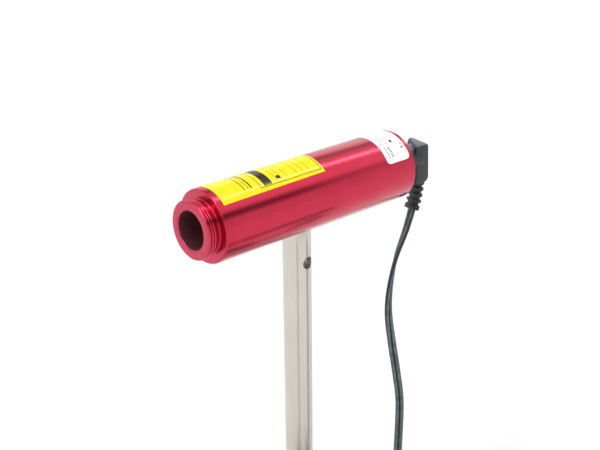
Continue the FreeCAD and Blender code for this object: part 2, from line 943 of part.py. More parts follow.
def round_tube(name, points, radius):
    """A round tube along a route, checked against its section times its length."""
    path, radii = rounded_path(points)
    first_run = points[1] - points[0]
    section = Part.Wire(Part.makeCircle(radius, points[0], first_run))
    tube = path.makePipeShell([section], True, False)
    expected = math.pi * radius ** 2 * path.Length
    if abs(tube.Volume / expected - 1) > 0.01:
        raise RuntimeError(f"{name}: the tube's volume does not match its length")
    print(f"{name}: {path.Length:.1f} mm, radii", " ".join(f"{bend:.1f}" for bend in radii))
    return tube


def make_leads():
    free_form("power_lead", round_tube("power_lead", lead_route(), lead_radius))
    free_form("power_lead_tail", round_tube("power_lead_tail", tail_route(), lead_radius))


def make_coil():
    """The wound lead as one closed ring, with the two ends that leave it as tangents."""
    bottom = bottom_row - lead_radius
    top = bottom + 2 * row_height
    bevel = turn_pitch / 2
    corners = [
        Vector(coil_inner + bevel, 0, bottom),
        Vector(coil_outer - bevel, 0, bottom),
        Vector(coil_outer, 0, bottom + bevel),
        Vector(coil_outer, 0, top - bevel),
        Vector(coil_outer - bevel, 0, top),
        Vector(coil_inner + bevel, 0, top),
        Vector(coil_inner, 0, top - bevel),
        Vector(coil_inner, 0, bottom + bevel),
    ]
    section = Part.Face(Part.makePolygon(corners + corners[:1]))
    ring = section.revolve(Vector(), Vector(0, 0, 1), 360)
    way_in = Part.makeCylinder(lead_radius, coil_stub, Vector(-coil_stub, outer_turn, bottom_row),
                               Vector(1, 0, 0))
    way_out = Part.makeCylinder(lead_radius, coil_stub, Vector(outer_turn, 0, bottom_row + row_height),
                                Vector(0, -1, 0))
    coil = ring.fuse([way_in, way_out]).removeSplitter()
    free_form("power_lead_coil", coil, coil_centre.x, coil_centre.y)


def make_tie():
    """A flat band round all the coil's turns."""
    band = cell("tie_thickness").value
    gap = cell("tie_gap").value
    length = cell("tie_width").value
    left = coil_inner - gap
    width = coil_width + 2 * gap
    height = 2 * row_height + gap
    inside = Part.makeBox(width, length, height, Vector(left, -length / 2, band))
    outside = Part.makeBox(width + 2 * band, length, height + 2 * band,
                           Vector(left - band, -length / 2, 0))
    free_form("lead_tie", outside.cut(inside), coil_centre.x, coil_centre.y, 0.0,
              Rotation(Vector(0, 0, 1), cell("tie_angle").value))


def make_supply_wires():
    """Two insulated wires from the board's end to the jack's lugs."""
    radius = cell("wire_diameter").value / 2
    start = board_rear.value
    end = jack_rear.value - cell("lug_length").value
    length = end - start
    spread = cell("wire_spread").value
    for label, side in (("supply_wire_red", -1), ("supply_wire_black", 1)):
        points = [
            Vector(side * spread, start, 0),
            Vector(side * spread, start + length * 0.2, 0),
            Vector(side * spread * 1.6, start + length * 0.5, side),
            Vector(side * spread, start + length * 0.8, 0),
            Vector(side * spread, end, 0),
        ]
        free_form(label, round_tube(label, points, radius), z=beam_height.value)


# ---------------------------------------------------------------- plug-in supply

# The supply lies across the end of the lead, with its pins towards -X.
SUPPLY_TURN = Rotation(Vector(0, 0, 1), -90)


def make_supply_half(label, foot, outer_level, seam_level, lead_face, line):
    """One half of the case, with rounded outer edges and a bevel along the seam."""
    half_width = cell("supply_width") / 2
    length = cell("supply_length")
    body = new_body(label)
    plan = outline(body, "XY_Plane", label + "_plan", [
        (-half_width, -length),
        (half_width, -length),
        (half_width, zero),
        (-half_width, zero),
    ])
    raised = body.newObject("PartDesign::Pad", label + "_pad")
    raised.Profile = plan
    bind(raised, Length=cell("supply_height") / 2)
    doc.recompute()
    rounding = body.newObject("PartDesign::Fillet", label + "_rounding")
    rounding.Base = (raised, edges_at(raised, outer_level, any))
    bind(rounding, Radius=cell("supply_round"))
    doc.recompute()
    bevel = body.newObject("PartDesign::Chamfer", label + "_seam")
    bevel.Base = (rounding, edges_at(rounding, seam_level, all))
    bind(bevel, Size=cell("supply_seam"))
    place(body, lead_face, line, foot, SUPPLY_TURN)


def edges_at(feature, level, quantity):
    """The names of the edges with any, or all, of their ends at one height."""
    return [
        f"Edge{number}" for number, line in enumerate(feature.Shape.Edges, start=1)
        if quantity(abs(corner.Z - level.value) < cell("supply_seam").value / 10
                    for corner in line.Vertexes)
    ]


def make_supply():
    height = cell("supply_height")
    half_height = height / 2
    relief_length = cell("supply_relief_length")
    relief_radius = cell("supply_relief_diameter") / 2
    lead_end, line = (as_size(place_on_floor) for place_on_floor in TAIL_POINTS[-1][:2])
    lead_face = lead_end - relief_length
    pin_face = lead_face - cell("supply_length")
    make_supply_half("supply_base", zero, zero, half_height, lead_face, line)
    make_supply_half("supply_cover", half_height, half_height, zero, lead_face, line)
    tip_radius = (relief_radius + as_size(lead_radius)) / 2
    relief = turned("supply_relief", [
        (zero, zero),
        (zero, relief_radius),
        (relief_length, tip_radius),
        (relief_length, zero),
    ])
    place(relief, lead_face, line, half_height, SUPPLY_TURN)
    pins = []
    pin_radius = cell("mains_pin_diameter") / 2
    shank_length = cell("mains_pin_length") - pin_radius
    for name, sign in (("left", -1), ("right", 1)):
        across = line + cell("mains_pin_spread") / 2 * sign
        shank = round_bar(f"mains_pin_{name}", pin_radius, shank_length,
                          x=pin_face - shank_length, y=across, z=half_height, rotation=ALONG_X)
        tip = doc.addObject("Part::Sphere", f"mains_tip_{name}")
        bind(tip, Radius=pin_radius)
        place(tip, pin_face - shank_length, across, half_height)
        contact = doc.addObject("Part::Fuse", f"mains_contact_{name}")
        contact.Base = shank
        contact.Tool = tip
        pins.append(contact)
    keep(gather("supply_pins", pins), "supply_pins")


# ---------------------------------------------------------------- build, check and export

def check(items):
    """Stop if any object of the document failed, or a sub-part has no sound shape."""
    failed = [item.Name for item in doc.Objects if "Invalid" in item.State or "Error" in item.State]
    if failed:
        raise RuntimeError("failed objects: " + ", ".join(failed))
    for item in items:
        shape = item.Shape
        if shape.isNull() or not shape.isValid() or not shape.Solids:
            raise RuntimeError(f"{item.Label}: the shape is not a valid solid")


def export(items):
    os.makedirs("parts", exist_ok=True)
    for item in items:
        item.Shape.exportStep(os.path.join("parts", item.Label + ".step"))
        box = item.Shape.BoundBox
        print(f"{item.Label:18s} {len(item.Shape.Solids)} solid(s) {item.Shape.Volume:10.2f} mm3",
              f"x {box.XMin:.2f} {box.XMax:.2f} y {box.YMin:.2f} {box.YMax:.2f}",
              f"z {box.ZMin:.2f} {box.ZMax:.2f}")


make_housing()
make_rod()
make_studs()
make_rear_cap()
make_sleeve()
make_barrel()
make_lens_cell()
make_lens()
make_spacer()
make_diode()
make_board()
make_jack()
make_plug_barrel()
make_plug_moulding()
make_labels()
make_leads()
make_coil()
make_tie()
make_supply_wires()
make_supply()
doc.recompute()
check(subparts)
export(subparts)
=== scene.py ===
"""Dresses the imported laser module: a crimson tube on a stand rod, its labels, plug and coiled lead."""
import json
import math

import bmesh
import bpy
from bpy.props import FloatProperty, FloatVectorProperty, IntProperty, PointerProperty
from mathutils import Matrix, Quaternion, Vector


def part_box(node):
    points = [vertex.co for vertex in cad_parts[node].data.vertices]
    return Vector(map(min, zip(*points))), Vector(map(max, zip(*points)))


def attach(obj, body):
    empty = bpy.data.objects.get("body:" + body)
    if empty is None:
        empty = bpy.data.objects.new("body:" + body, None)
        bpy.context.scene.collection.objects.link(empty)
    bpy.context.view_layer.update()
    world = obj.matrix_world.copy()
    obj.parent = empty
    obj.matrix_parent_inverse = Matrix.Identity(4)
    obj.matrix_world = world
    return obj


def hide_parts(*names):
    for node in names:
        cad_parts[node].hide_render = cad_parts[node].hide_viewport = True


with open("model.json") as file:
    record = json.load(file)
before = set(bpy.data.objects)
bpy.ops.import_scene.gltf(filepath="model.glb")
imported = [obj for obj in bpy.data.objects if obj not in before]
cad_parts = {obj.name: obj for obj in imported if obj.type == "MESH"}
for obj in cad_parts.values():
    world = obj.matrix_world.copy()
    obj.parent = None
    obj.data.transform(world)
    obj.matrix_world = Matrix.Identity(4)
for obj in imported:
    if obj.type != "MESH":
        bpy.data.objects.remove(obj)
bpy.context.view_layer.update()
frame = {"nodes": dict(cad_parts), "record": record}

bl_info = {
    "name": "Laser module dressing",
    "version": (1, 0, 0),
    "blender": (4, 5, 0),
    "location": "View3D > Sidebar > Laser module",
    "description": "Builds the visible pieces of a laser module on a stand rod around its CAD frame",
    "category": "Object",
}

BODY = "root"
MM = 0.001
FULL_TURN = math.tau
# Every finish, by the record's slot name. main() fills it before the operators run.
FINISHES = {}

# The tube lies along Y. Its axis, ends and radius come from the frame.
TUBE_LOW, TUBE_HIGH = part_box("housing")
TUBE_RADIUS = (TUBE_HIGH.x - TUBE_LOW.x) / 2
AXIS = Vector((0, 0, (TUBE_HIGH.z + TUBE_LOW.z) / 2))
NOSE_END = TUBE_LOW.y
REAR = TUBE_HIGH.y
ALONG_X = Vector((1, 0, 0))
ALONG_Y = Vector((0, 1, 0))
# What breaks the edges of the turned pieces, and the angle past which an edge is a crease.
EDGE_BREAK = 0.35 * MM
CREASE = math.radians(32)
# Vertices closer than this are one.
MERGE = MM / 500


# ---------------------------------------------------------------- small tools

def linear(hex_colour):
    """An sRGB colour such as C8102E as the linear RGBA that a shader wants."""
    channels = [int(hex_colour[i:i + 2], 16) / 255 for i in (0, 2, 4)]
    return [c / 12.92 if c <= 0.04045 else ((c + 0.055) / 1.055) ** 2.4 for c in channels] + [1.0]


def add_node(tree, kind, sockets=None, output=0, **settings):
    """Adds a node with its settings, its values and its links, and returns one of its outputs."""
    node = tree.nodes.new(kind)
    for name, value in settings.items():
        setattr(node, name, value)
    for name, value in (sockets or {}).items():
        if isinstance(value, bpy.types.NodeSocket):
            tree.links.new(value, node.inputs[name])
        else:
            node.inputs[name].default_value = value
    return node.outputs[output]


def new_finish(name, **values):
    """A material with its Principled shader's own values set: the material, its tree, its shader."""
    material = bpy.data.materials.new(name)
    material.use_nodes = True
    tree = material.node_tree
    shader = tree.nodes["Principled BSDF"]
    for socket, value in values.items():
        shader.inputs[socket.replace("_", " ")].default_value = value
    return material, tree, shader


# ---------------------------------------------------------------- making pieces

def show_creases(bm, angle=CREASE):
    """Smooth shading with a crease wherever two faces meet at more than the angle."""
    for face in bm.faces:
        face.smooth = True
    for edge in bm.edges:
        edge.smooth = edge.is_manifold and edge.calc_face_angle(FULL_TURN) < angle


def soften(bm, width, segments=2, angle=CREASE, chosen=None):
    """Bevels every edge sharper than the angle, or the chosen ones."""
    edges = chosen if chosen is not None else [
        edge for edge in bm.edges if edge.is_manifold and edge.calc_face_angle() > angle]
    bmesh.ops.bevel(bm, geom=edges, offset=width, offset_type="OFFSET", segments=segments,
                    profile=0.5, affect="EDGES", material=-1, clamp_overlap=True)


def close_and_turn_out(bm):
    """Merges doubles, then turns the faces outwards."""
    bmesh.ops.remove_doubles(bm, verts=bm.verts, dist=MERGE)
    bmesh.ops.recalc_face_normals(bm, faces=bm.faces)


def new_object(name, bm, *materials):
    """The bmesh as an object at the origin, in the scene, with its materials."""
    mesh = bpy.data.meshes.new(name)
    bm.to_mesh(mesh)
    bm.free()
    for material in materials:
        mesh.materials.append(material)
    item = bpy.data.objects.new(name, mesh)
    bpy.context.scene.collection.objects.link(item)
    return item


def to_piece(name, bm, slot):
    """A finished piece: its creases, the finish of its slot, and its body."""
    show_creases(bm)
    piece = new_object(name, bm, FINISHES[slot])
    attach(piece, BODY)
    return piece


def string_of_edges(bm, points, closed=False):
    """Vertices at the points, joined in order."""
    verts = [bm.verts.new(point) for point in points]
    pairs = list(zip(verts, verts[1:])) + ([(verts[-1], verts[0])] if closed else [])
    return verts, [bm.edges.new(pair) for pair in pairs]


def turn(bm, profile, steps=160, centre=AXIS, axis=ALONG_Y, closed=True):
    """Spins a profile of (place along the axis, radius) points once round the axis."""
    outwards = Vector((axis.y, axis.z, axis.x))
    points = [centre + axis * along + outwards * radius for along, radius in profile]
    verts, edges = string_of_edges(bm, points, closed)
    bmesh.ops.spin(bm, geom=verts + edges, cent=centre, axis=axis, angle=FULL_TURN,
                   steps=steps, use_merge=True, use_duplicate=False)


def run_along(bm, rings, layer=None, marks=()):
    """Extrudes the first ring of points from each ring to the next, and caps the ends.

    Each of the marks goes into the layer at its own point of every ring."""
    verts, edges = string_of_edges(bm, rings[0], closed=True)
    for vert, mark in zip(verts, marks):
        vert[layer] = mark
    bm.faces.new(verts)
    for ring in rings[1:]:
        made = bmesh.ops.extrude_edge_only(bm, edges=edges)["geom"]
        fresh = {vert for item in made if isinstance(item, bmesh.types.BMEdge) for vert in item.verts}
        verts = [next(edge.other_vert(old) for edge in old.link_edges if edge.other_vert(old) in fresh)
                 for old in verts]
        for vert, point in zip(verts, ring):
            vert.co = point
        edges = [bm.edges.get((a, b)) for a, b in zip(verts, verts[1:] + verts[:1])]
    bm.faces.new(verts)


def drill(piece, holes):
    """Cuts round holes, each given as (radius, depth, place of its middle), and leaves no modifier."""
    bm = bmesh.new()
    for radius, depth, place in holes:
        bmesh.ops.create_cone(bm, cap_ends=True, segments=64, radius1=radius, radius2=radius,
                              depth=depth, matrix=place)
    close_and_turn_out(bm)
    cutter = new_object("cutter", bm)
    boolean = piece.modifiers.new("cut", "BOOLEAN")
    boolean.operation = "DIFFERENCE"
    boolean.solver = "EXACT"
    boolean.object = cutter
    depsgraph = bpy.context.evaluated_depsgraph_get()
    result = bpy.data.meshes.new_from_object(piece.evaluated_get(depsgraph))
    piece.modifiers.clear()
    whole, plugs = piece.data, cutter.data
    piece.data = result
    bpy.data.objects.remove(cutter)
    for mesh in (whole, plugs):
        bpy.data.meshes.remove(mesh)
    result.name = piece.name
    bm = bmesh.new()
    bm.from_mesh(result)
    show_creases(bm)
    bm.to_mesh(result)
    bm.free()


def finish_node(name, material):
    """Gives a carried-over CAD node its finish."""
    data = frame["nodes"][name].data
    data.materials.clear()
    data.materials.append(material)


# ---------------------------------------------------------------- finishes

def waves(spacing):
    """How often a pattern with this spacing in millimetres repeats in a metre."""
    return 1 / (spacing * MM)


def worked_surface(name, colours, rough, clouds, marks, depth, **values):
    """A finish that drifts between two near colours, with marks that set its gloss and its relief.

    clouds is the spacing of the drift, marks the spacing of the marks along each axis and depth
    their depth, all in millimetres. Returns the material, its tree, its shader and the colour."""
    material, tree, shader = new_finish(name, **values)
    place = add_node(tree, "ShaderNodeTexCoord", output="Object")
    drift = add_node(tree, "ShaderNodeTexNoise", {"Vector": place, "Scale": waves(clouds),
                                                   "Detail": 3.0})
    drift = add_node(tree, "ShaderNodeMapRange", {"Value": drift, "From Min": 0.3, "From Max": 0.7})
    tone = add_node(tree, "ShaderNodeMix", {"Factor": drift, "A": colours[0], "B": colours[1]},
                    output="Result", data_type="RGBA")
    drawn = add_node(tree, "ShaderNodeMapping", {"Vector": place, "Scale": [waves(m) for m in marks]})
    grain = add_node(tree, "ShaderNodeTexNoise", {"Vector": drawn, "Scale": 1.0, "Detail": 2.0})
    gloss = add_node(tree, "ShaderNodeMapRange", {"Value": grain, "From Min": 0.3, "From Max": 0.7,
                                                 "To Min": rough[0], "To Max": rough[1]})
    relief = add_node(tree, "ShaderNodeBump", {"Height": grain, "Distance": depth * MM,
                                              "Strength": 1.0})
    tree.links.new(tone, shader.inputs["Base Color"])
    tree.links.new(gloss, shader.inputs["Roughness"])
    tree.links.new(relief, shader.inputs["Normal"])
    return material, tree, shader, tone


def tube_places(tree):
    """Across and along the tube's skin in millimetres, and the distance from its axis in metres.

    Across is measured round the skin from the top towards +X."""
    place = add_node(tree, "ShaderNodeTexCoord", output="Object")
    centred = add_node(tree, "ShaderNodeVectorMath", {0: place, 1: AXIS}, operation="SUBTRACT")
    parts = add_node(tree, "ShaderNodeSeparateXYZ", {"Vector": centred}).node.outputs
    angle = add_node(tree, "ShaderNodeMath", {0: parts["X"], 1: parts["Z"]}, operation="ARCTAN2")
    across = add_node(tree, "ShaderNodeMath", {0: angle, 1: TUBE_RADIUS / MM}, operation="MULTIPLY")
    along = add_node(tree, "ShaderNodeMath", {0: parts["Y"], 1: 1 / MM}, operation="MULTIPLY")
    flat = add_node(tree, "ShaderNodeVectorMath", {0: centred, 1: (1, 0, 1)}, operation="MULTIPLY")
    radius = add_node(tree, "ShaderNodeVectorMath", {0: flat}, output="Value", operation="LENGTH")
    return across, along, radius


def anodised_aluminium(name, colours, nose, bore):
    """Dyed and sealed aluminium: a tinted metal under a thin clear skin, with fine lathe rings.

    What lies deeper than the tube's skin, as the nose does, is given a paler crimson. The aperture's wall
    is given a duller, darker colour."""
    material, tree, shader, tone = worked_surface(
        name, colours, (0.19, 0.26), 11.1, (167.0, 0.333, 167.0), 0.0003,
        Metallic=1.0, Coat_Weight=0.22, Coat_Roughness=0.14)
    radius = tube_places(tree)[2]
    below_skin, aperture_wall = TUBE_RADIUS - 0.4 * MM, 6.7 * MM
    skin = tone
    # Deeper than the skin the crimson turns paler; on the aperture's wall it turns darker and duller.
    for within, inner_colour in ((below_skin, nose), (aperture_wall, bore)):
        inside = add_node(tree, "ShaderNodeMath", {0: radius, 1: within}, operation="LESS_THAN")
        skin = add_node(tree, "ShaderNodeMix", {"Factor": inside, "A": skin, "B": inner_colour},
                        output="Result", data_type="RGBA")
    gloss = shader.inputs["Roughness"].links[0].from_socket
    dull = add_node(tree, "ShaderNodeMix", {"Factor": inside, "A": gloss, "B": 0.8})
    tree.links.new(skin, shader.inputs["Base Color"])
    tree.links.new(dull, shader.inputs["Roughness"])
    return material


def crest_highlit_jacket(name, colours, painted_crest_highlight):
    """A flexible jacket with a painted highlight, in pale flecks, along the crest of each core."""
    material, tree, shader, tone = worked_surface(
        name, colours, (0.38, 0.48), 6.25, (0.417, 0.417, 0.417), 0.003, Specular_IOR_Level=0.45)
    crest = add_node(tree, "ShaderNodeAttribute", output="Fac", attribute_name="crest")
    crest = add_node(tree, "ShaderNodeMapRange", {"Value": crest, "From Min": 0.45})
    place = add_node(tree, "ShaderNodeTexCoord", output="Object")
    flecks = add_node(tree, "ShaderNodeTexNoise", {"Vector": place, "Scale": waves(2.38),
                                                    "Detail": 3.0})
    flecks = add_node(tree, "ShaderNodeMapRange", {"Value": flecks, "From Min": 0.3,
                                                  "From Max": 0.65, "To Min": 0.45})
    # Painted highlight: the crest of each core, broken into flecks, is mixed towards the pale colour.
    highlight_share = add_node(tree, "ShaderNodeMath", {0: crest, 1: flecks}, operation="MULTIPLY")
    skin = add_node(tree, "ShaderNodeMix", {"Factor": highlight_share, "A": tone, "B": painted_crest_highlight},
                    output="Result", data_type="RGBA")
    tree.links.new(skin, shader.inputs["Base Color"])
    return material


def top_lit_moulding(name, colours, painted_top_light):
    """A flexible moulding with painted light on its upward faces, which are lightened towards a paler
    tone.
    """
    material, tree, shader, tone = worked_surface(
        name, colours, (0.26, 0.36), 6.25, (0.417, 0.417, 0.417), 0.004)
    # Painted light from above: faces that look up are mixed towards the pale colour.
    facing = add_node(tree, "ShaderNodeNewGeometry", output="Normal")
    up = add_node(tree, "ShaderNodeSeparateXYZ", {"Vector": facing}, output="Z")
    up = add_node(tree, "ShaderNodeMapRange", {"Value": up, "From Min": 0.86, "From Max": 0.99})
    skin = add_node(tree, "ShaderNodeMix", {"Factor": up, "A": tone, "B": painted_top_light},
                    output="Result", data_type="RGBA")
    tree.links.new(skin, shader.inputs["Base Color"])
    return material


def printed_film(name, colours, inks):
    """A glossy self-adhesive film with blocks and lines of print, each in its own ink.

    inks holds (colour, bars), each bar as (middle across, half size, middle along, half size) in
    millimetres from the tube's top and the rod's axis."""
    material, tree, shader, tone = worked_surface(
        name, colours, (0.2, 0.28), 3.33, (2.0, 2.0, 2.0), 0.002, IOR=1.49,
        Coat_Weight=0.3, Coat_Roughness=0.09, Specular_IOR_Level=0.1)
    across, along, _ = tube_places(tree)
    for ink, bars in inks:
        cover = 0.0
        for middle_across, half_across, middle_along, half_along in bars:
            wide = add_node(tree, "ShaderNodeMath", {0: across, 1: middle_across, 2: half_across},
                            operation="COMPARE")
            long = add_node(tree, "ShaderNodeMath", {0: along, 1: middle_along, 2: half_along},
                            operation="COMPARE")
            bar = add_node(tree, "ShaderNodeMath", {0: wide, 1: long}, operation="MULTIPLY")
            cover = add_node(tree, "ShaderNodeMath", {0: cover, 1: bar}, operation="MAXIMUM")
        tone = add_node(tree, "ShaderNodeMix", {"Factor": cover, "A": tone, "B": linear(ink)},
                        output="Result", data_type="RGBA")
    tree.links.new(tone, shader.inputs["Base Color"])
    return material


def frame_of_bars(arc, half_arc, along, half_along, line):
    """The four thin bars of a printed frame."""
    return [(arc - half_arc, line, along, half_along), (arc + half_arc, line, along, half_along),
            (arc, half_arc, along - half_along, line), (arc, half_arc, along + half_along, line)]


def yellow_print():
    """The generic layout of the long label: a frame, a dark field, a dot and a few rules."""
    rules = [(1.0, 5.4, along, 0.1) for along in (-13.6, -11.6, -9.2, -4.8, -2.2, 0.4)]
    return [
        ("3A3413", frame_of_bars(0.0, 7.6, -8.0, 12.9, 0.12)),
        ("8A7F1E", rules),
        ("2A2410", [(0.8, 6.4, -17.6, 1.7), (5.4, 0.75, -12.4, 0.75)]),
        ("4A4418", [(0.0, 6.6, -24.2, 0.3), (0.0, 6.6, -27.0, 0.18), (0.0, 6.6, -25.4, 0.12)]),
    ]


def white_print():
    """The generic layout of the short label: a rule, a dot and rows of faint marks."""
    bold = [(11.2 - 0.85 * n, 0.3, 36.3, 0.42) for n in range(5)]
    plain = [(6.6 - 0.8 * n, 0.22, 36.6, 0.3) for n in range(11)]
    faint = [(11.4 - 0.95 * n, 0.28, 34.7, 0.42) for n in range(11)]
    return [
        ("9AA0A3", [(-1.0, 9.0, 37.6, 0.09)] + plain),
        ("737A7D", bold),
        ("1C1F21", [(5.5, 0.62, 39.2, 0.5), (4.9, 0.25, 39.8, 0.22)]),
        ("A3AAA6", faint + [(1.5, 2.6, 40.9, 0.12)]),
        ("B9A0A4", [(9.0, 0.5, 41.9, 0.75), (7.6, 0.35, 42.2, 0.5)]),
    ]


def make_finishes(colours):
    """Every finish of the object, by the record's slot name."""
    # Spacings of the marks in millimetres along X, Y and Z. Real grain and real tool marks are
    # finer than these, which are as coarse as they need to be to show.
    fine = (0.417, 0.417, 0.417)
    turned = (20.0, 0.385, 20.0)
    upright = (0.667, 0.667, 33.3)
    rolled = (0.556, 11.1, 0.556)
    weave = (0.625, 0.625, 0.625)
    eroded = (0.667, 0.667, 0.667)
    metals = {
        # Black-oxided steel screws: near black, with an oily shine.
        "black_steel": ("black oxide steel", ("2A2A2C", "38383A"), (0.34, 0.5), fine, 0.002),
        # Bright nickel over brass: a cool mirror, softened a little by handling.
        "nickel_plate": ("bright nickel plate", ("CFCFCB", "BDBCB6"), (0.13, 0.2), fine, 0.001),
        # Phosphor bronze strip: warm brown metal, rolled.
        "spring_bronze": ("rolled phosphor bronze", ("B98A5A", "A87A4C"), (0.24, 0.37), rolled, 0.002),
        # Tinned brass lugs: dull silver.
        "tinned_brass": ("tinned brass", ("BFC0BE", "A9AAA6"), (0.28, 0.42), fine, 0.002),
        # Bare machined aluminium: bright rings from the lathe.
        "plain_aluminium": ("turned bare aluminium", ("C9CBCE", "B8BABD"), (0.24, 0.37), turned, 0.002),
        # Turned brass: yellow metal with fine rings.
        "turned_brass": ("turned brass", ("C9A24C", "B88F3E"), (0.21, 0.33), turned, 0.002),
        # Gold-plated can and leads: a rich yellow mirror.
        "gold_can": ("gold plate", ("E0B45A", "D2A448"), (0.16, 0.25), fine, 0.001),
        # Drawn aluminium can: bright, with an upright grain.
        "can_aluminium": ("drawn aluminium can", ("C6C8CC", "B2B4B8"), (0.22, 0.35), upright, 0.002),
    }
    plastics = {
        # Moulded ABS, black: even, half matt.
        "black_abs": ("black moulded ABS", ("141516", "1B1C1E"), (0.36, 0.48), fine, 0.006),
        # Solder mask on glass epoxy: glossy green, with the weave just showing.
        "board_green": ("green solder mask", ("1D5A35", "17482B"), (0.25, 0.36), weave, 0.012),
        # Epoxy chip packages: matt black, fine grain.
        "chip_black": ("black epoxy package", ("17181A", "202124"), (0.52, 0.7), fine, 0.01),
        # Blue trimmer body: glossy thermoplastic.
        "trimmer_blue": ("blue thermoplastic", ("2453A0", "1D4790"), (0.27, 0.38), fine, 0.006),
        # Wire insulation, red and black PVC: soft gloss.
        "wire_red": ("red PVC insulation", ("B3161C", "9E1117"), (0.32, 0.45), fine, 0.006),
        "wire_black": ("black PVC insulation", ("17181A", "101113"), (0.32, 0.45), fine, 0.006),
        # Textured ABS case: matt black with a coarse eroded grain.
        "supply_black": ("textured black ABS", ("1A1B1D", "232426"), (0.48, 0.62), eroded, 0.03),
    }
    made = {}
    for looks, drift, values in ((metals, 7.14, {"Metallic": 1.0}), (plastics, 6.25, {})):
        for slot, (name, pair, rough, marks, depth) in looks.items():
            made[slot] = worked_surface(name, [linear(c) for c in pair], rough, drift, marks, depth,
                                        **values)[0]
    # Drawn stainless steel: pale and warm, with a fine lengthwise grain.
    made["satin_rod"] = worked_surface(
        "drawn stainless steel", (linear("D0CBC3"), linear("C8C3BB")), (0.22, 0.28), 16.7, upright,
        0.0015, Metallic=1.0)[0]
    # Optical glass with an anti-reflection layer: clear, with a faint violet cast.
    made["clear_lens"] = worked_surface(
        "coated optical glass", (linear("FFFFFF"), linear("F1ECFF")), (0.01, 0.05), 1.11, fine, 0.0,
        Transmission_Weight=1.0, IOR=1.52)[0]
    # Anodised, dyed and turned aluminium: deep crimson metal with soft long highlights. Its rings
    # are a third of a millimetre apart, coarser than a real feed, so that they show.
    made["crimson_anodised"] = anodised_aluminium(
        "turned crimson anodised aluminium", (colours.tube, colours.tube_drift), colours.nose,
        colours.bore)
    # Moulded PVC, charcoal: satin, with soft light on its rounded edges and painted light, a paler tone,
    # on its upward faces.
    made["grey_moulding"] = top_lit_moulding(
        "charcoal moulded PVC", (colours.plug, linear("202627")), linear("56656A"))
    # Flexible PVC jacket, grey-black, with a painted highlight in blue-grey down the crest of each core.
    made["grey_lead"] = crest_highlit_jacket(
        "grey PVC jacket", (colours.lead, linear("1F2628")), linear("6E7E82"))
    # Yellow polyester film with dark print.
    made["yellow_film"] = printed_film(
        "printed yellow film", (colours.long_label, linear("E9D600")), yellow_print())
    # White polyester film with faint grey print.
    made["white_film"] = printed_film(
        "printed white film", (colours.short_label, linear("F4F6F8")), white_print())
    return made


# ---------------------------------------------------------------- what a user would change

class FinishColours(bpy.types.PropertyGroup):
    """Colours of the pieces that show most."""
    tube: FloatVectorProperty(name="Tube", description="Dye of the anodised tube", size=4,
                              default=linear("C8304A"), subtype="COLOR")
    tube_drift: FloatVectorProperty(name="Tube's drift", description="What the tube's dye drifts to",
                                    size=4, default=linear("C02B44"), subtype="COLOR")
    # The nose's colour is a paler crimson, given to what lies below the tube's skin.
    nose: FloatVectorProperty(name="Nose", description="Paler dye on the tube's nose", size=4,
                              default=linear("C43A54"), subtype="COLOR")
    # The bore's colour is a duller, darker colour, given to the aperture's wall.
    bore: FloatVectorProperty(name="Bore", description="Dull dye in the aperture", size=4,
                              default=linear("79434D"), subtype="COLOR")
    long_label: FloatVectorProperty(name="Long label", description="Film of the long label", size=4,
                                    default=linear("EFDE00"), subtype="COLOR")
    short_label: FloatVectorProperty(name="Short label", description="Film of the short label", size=4,
                                     default=linear("FAFBFC"), subtype="COLOR")
    plug: FloatVectorProperty(name="Plug", description="Moulding of the plug", size=4,
                              default=linear("252C2D"), subtype="COLOR")
    lead: FloatVectorProperty(name="Lead", description="Jacket of the lead", size=4,
                              default=linear("262D2F"), subtype="COLOR")


class HousingSizes(bpy.types.PropertyGroup):
    """Sizes of the tube's nose, its thread and the long label."""
    aperture: FloatProperty(name="Aperture", description="Diameter of the opening in the nose",
                            default=13.0 * MM, unit="LENGTH")
    nose: FloatProperty(name="Nose", description="Diameter over the nose's thread",
                        default=20.0 * MM, unit="LENGTH")
    nose_length: FloatProperty(name="Nose length", description="From the shoulder to the front face",
                               default=4.8 * MM, unit="LENGTH")
    thread_pitch: FloatProperty(name="Thread pitch", description="From one ridge to the next",
                                default=1.0 * MM, unit="LENGTH")
    thread_turns: FloatProperty(name="Thread turns", description="Full turns of the ridge",
                                default=2.6)
    thread_depth: FloatProperty(name="Thread depth", description="Height of the ridge",
                                default=0.42 * MM, unit="LENGTH")
    label_length: FloatProperty(name="Label length", description="Along the tube",
                                default=43.0 * MM, unit="LENGTH")
    label_half_width: FloatProperty(name="Label half width", description="From its middle to its edge",
                                    default=9.2 * MM, unit="LENGTH")
    label_askew: FloatProperty(name="Label askew", description="How far the label is turned",
                               default=math.radians(0.7), subtype="ANGLE")


class PlugSizes(bpy.types.PropertyGroup):
    """Sizes of the moulded plug."""
    depth: FloatProperty(name="Block depth", description="Along the plug's axis", default=6.6 * MM,
                         unit="LENGTH")
    shallow_corner: FloatProperty(name="Shallow corner", description="Depth of the block's top on -X",
                                  default=2.1 * MM, unit="LENGTH")
    width: FloatProperty(name="Block width", description="Across the block's back", default=8.5 * MM,
                         unit="LENGTH")
    above: FloatProperty(name="Above the axis", description="From the plug's axis to the block's top",
                         default=5.2 * MM, unit="LENGTH")
    below: FloatProperty(name="Below the axis", description="From the plug's axis to the block's foot",
                         default=9.6 * MM, unit="LENGTH")
    edge: FloatProperty(name="Edge", description="Rounding of the block's edges", default=0.9 * MM,
                        unit="LENGTH")
    turned: FloatProperty(name="Turned", description="How far the plug is turned in its socket",
                          default=math.radians(2.0), subtype="ANGLE")
    ribs: IntProperty(name="Ribs", description="Ribs of the strain relief above its collar", default=4)


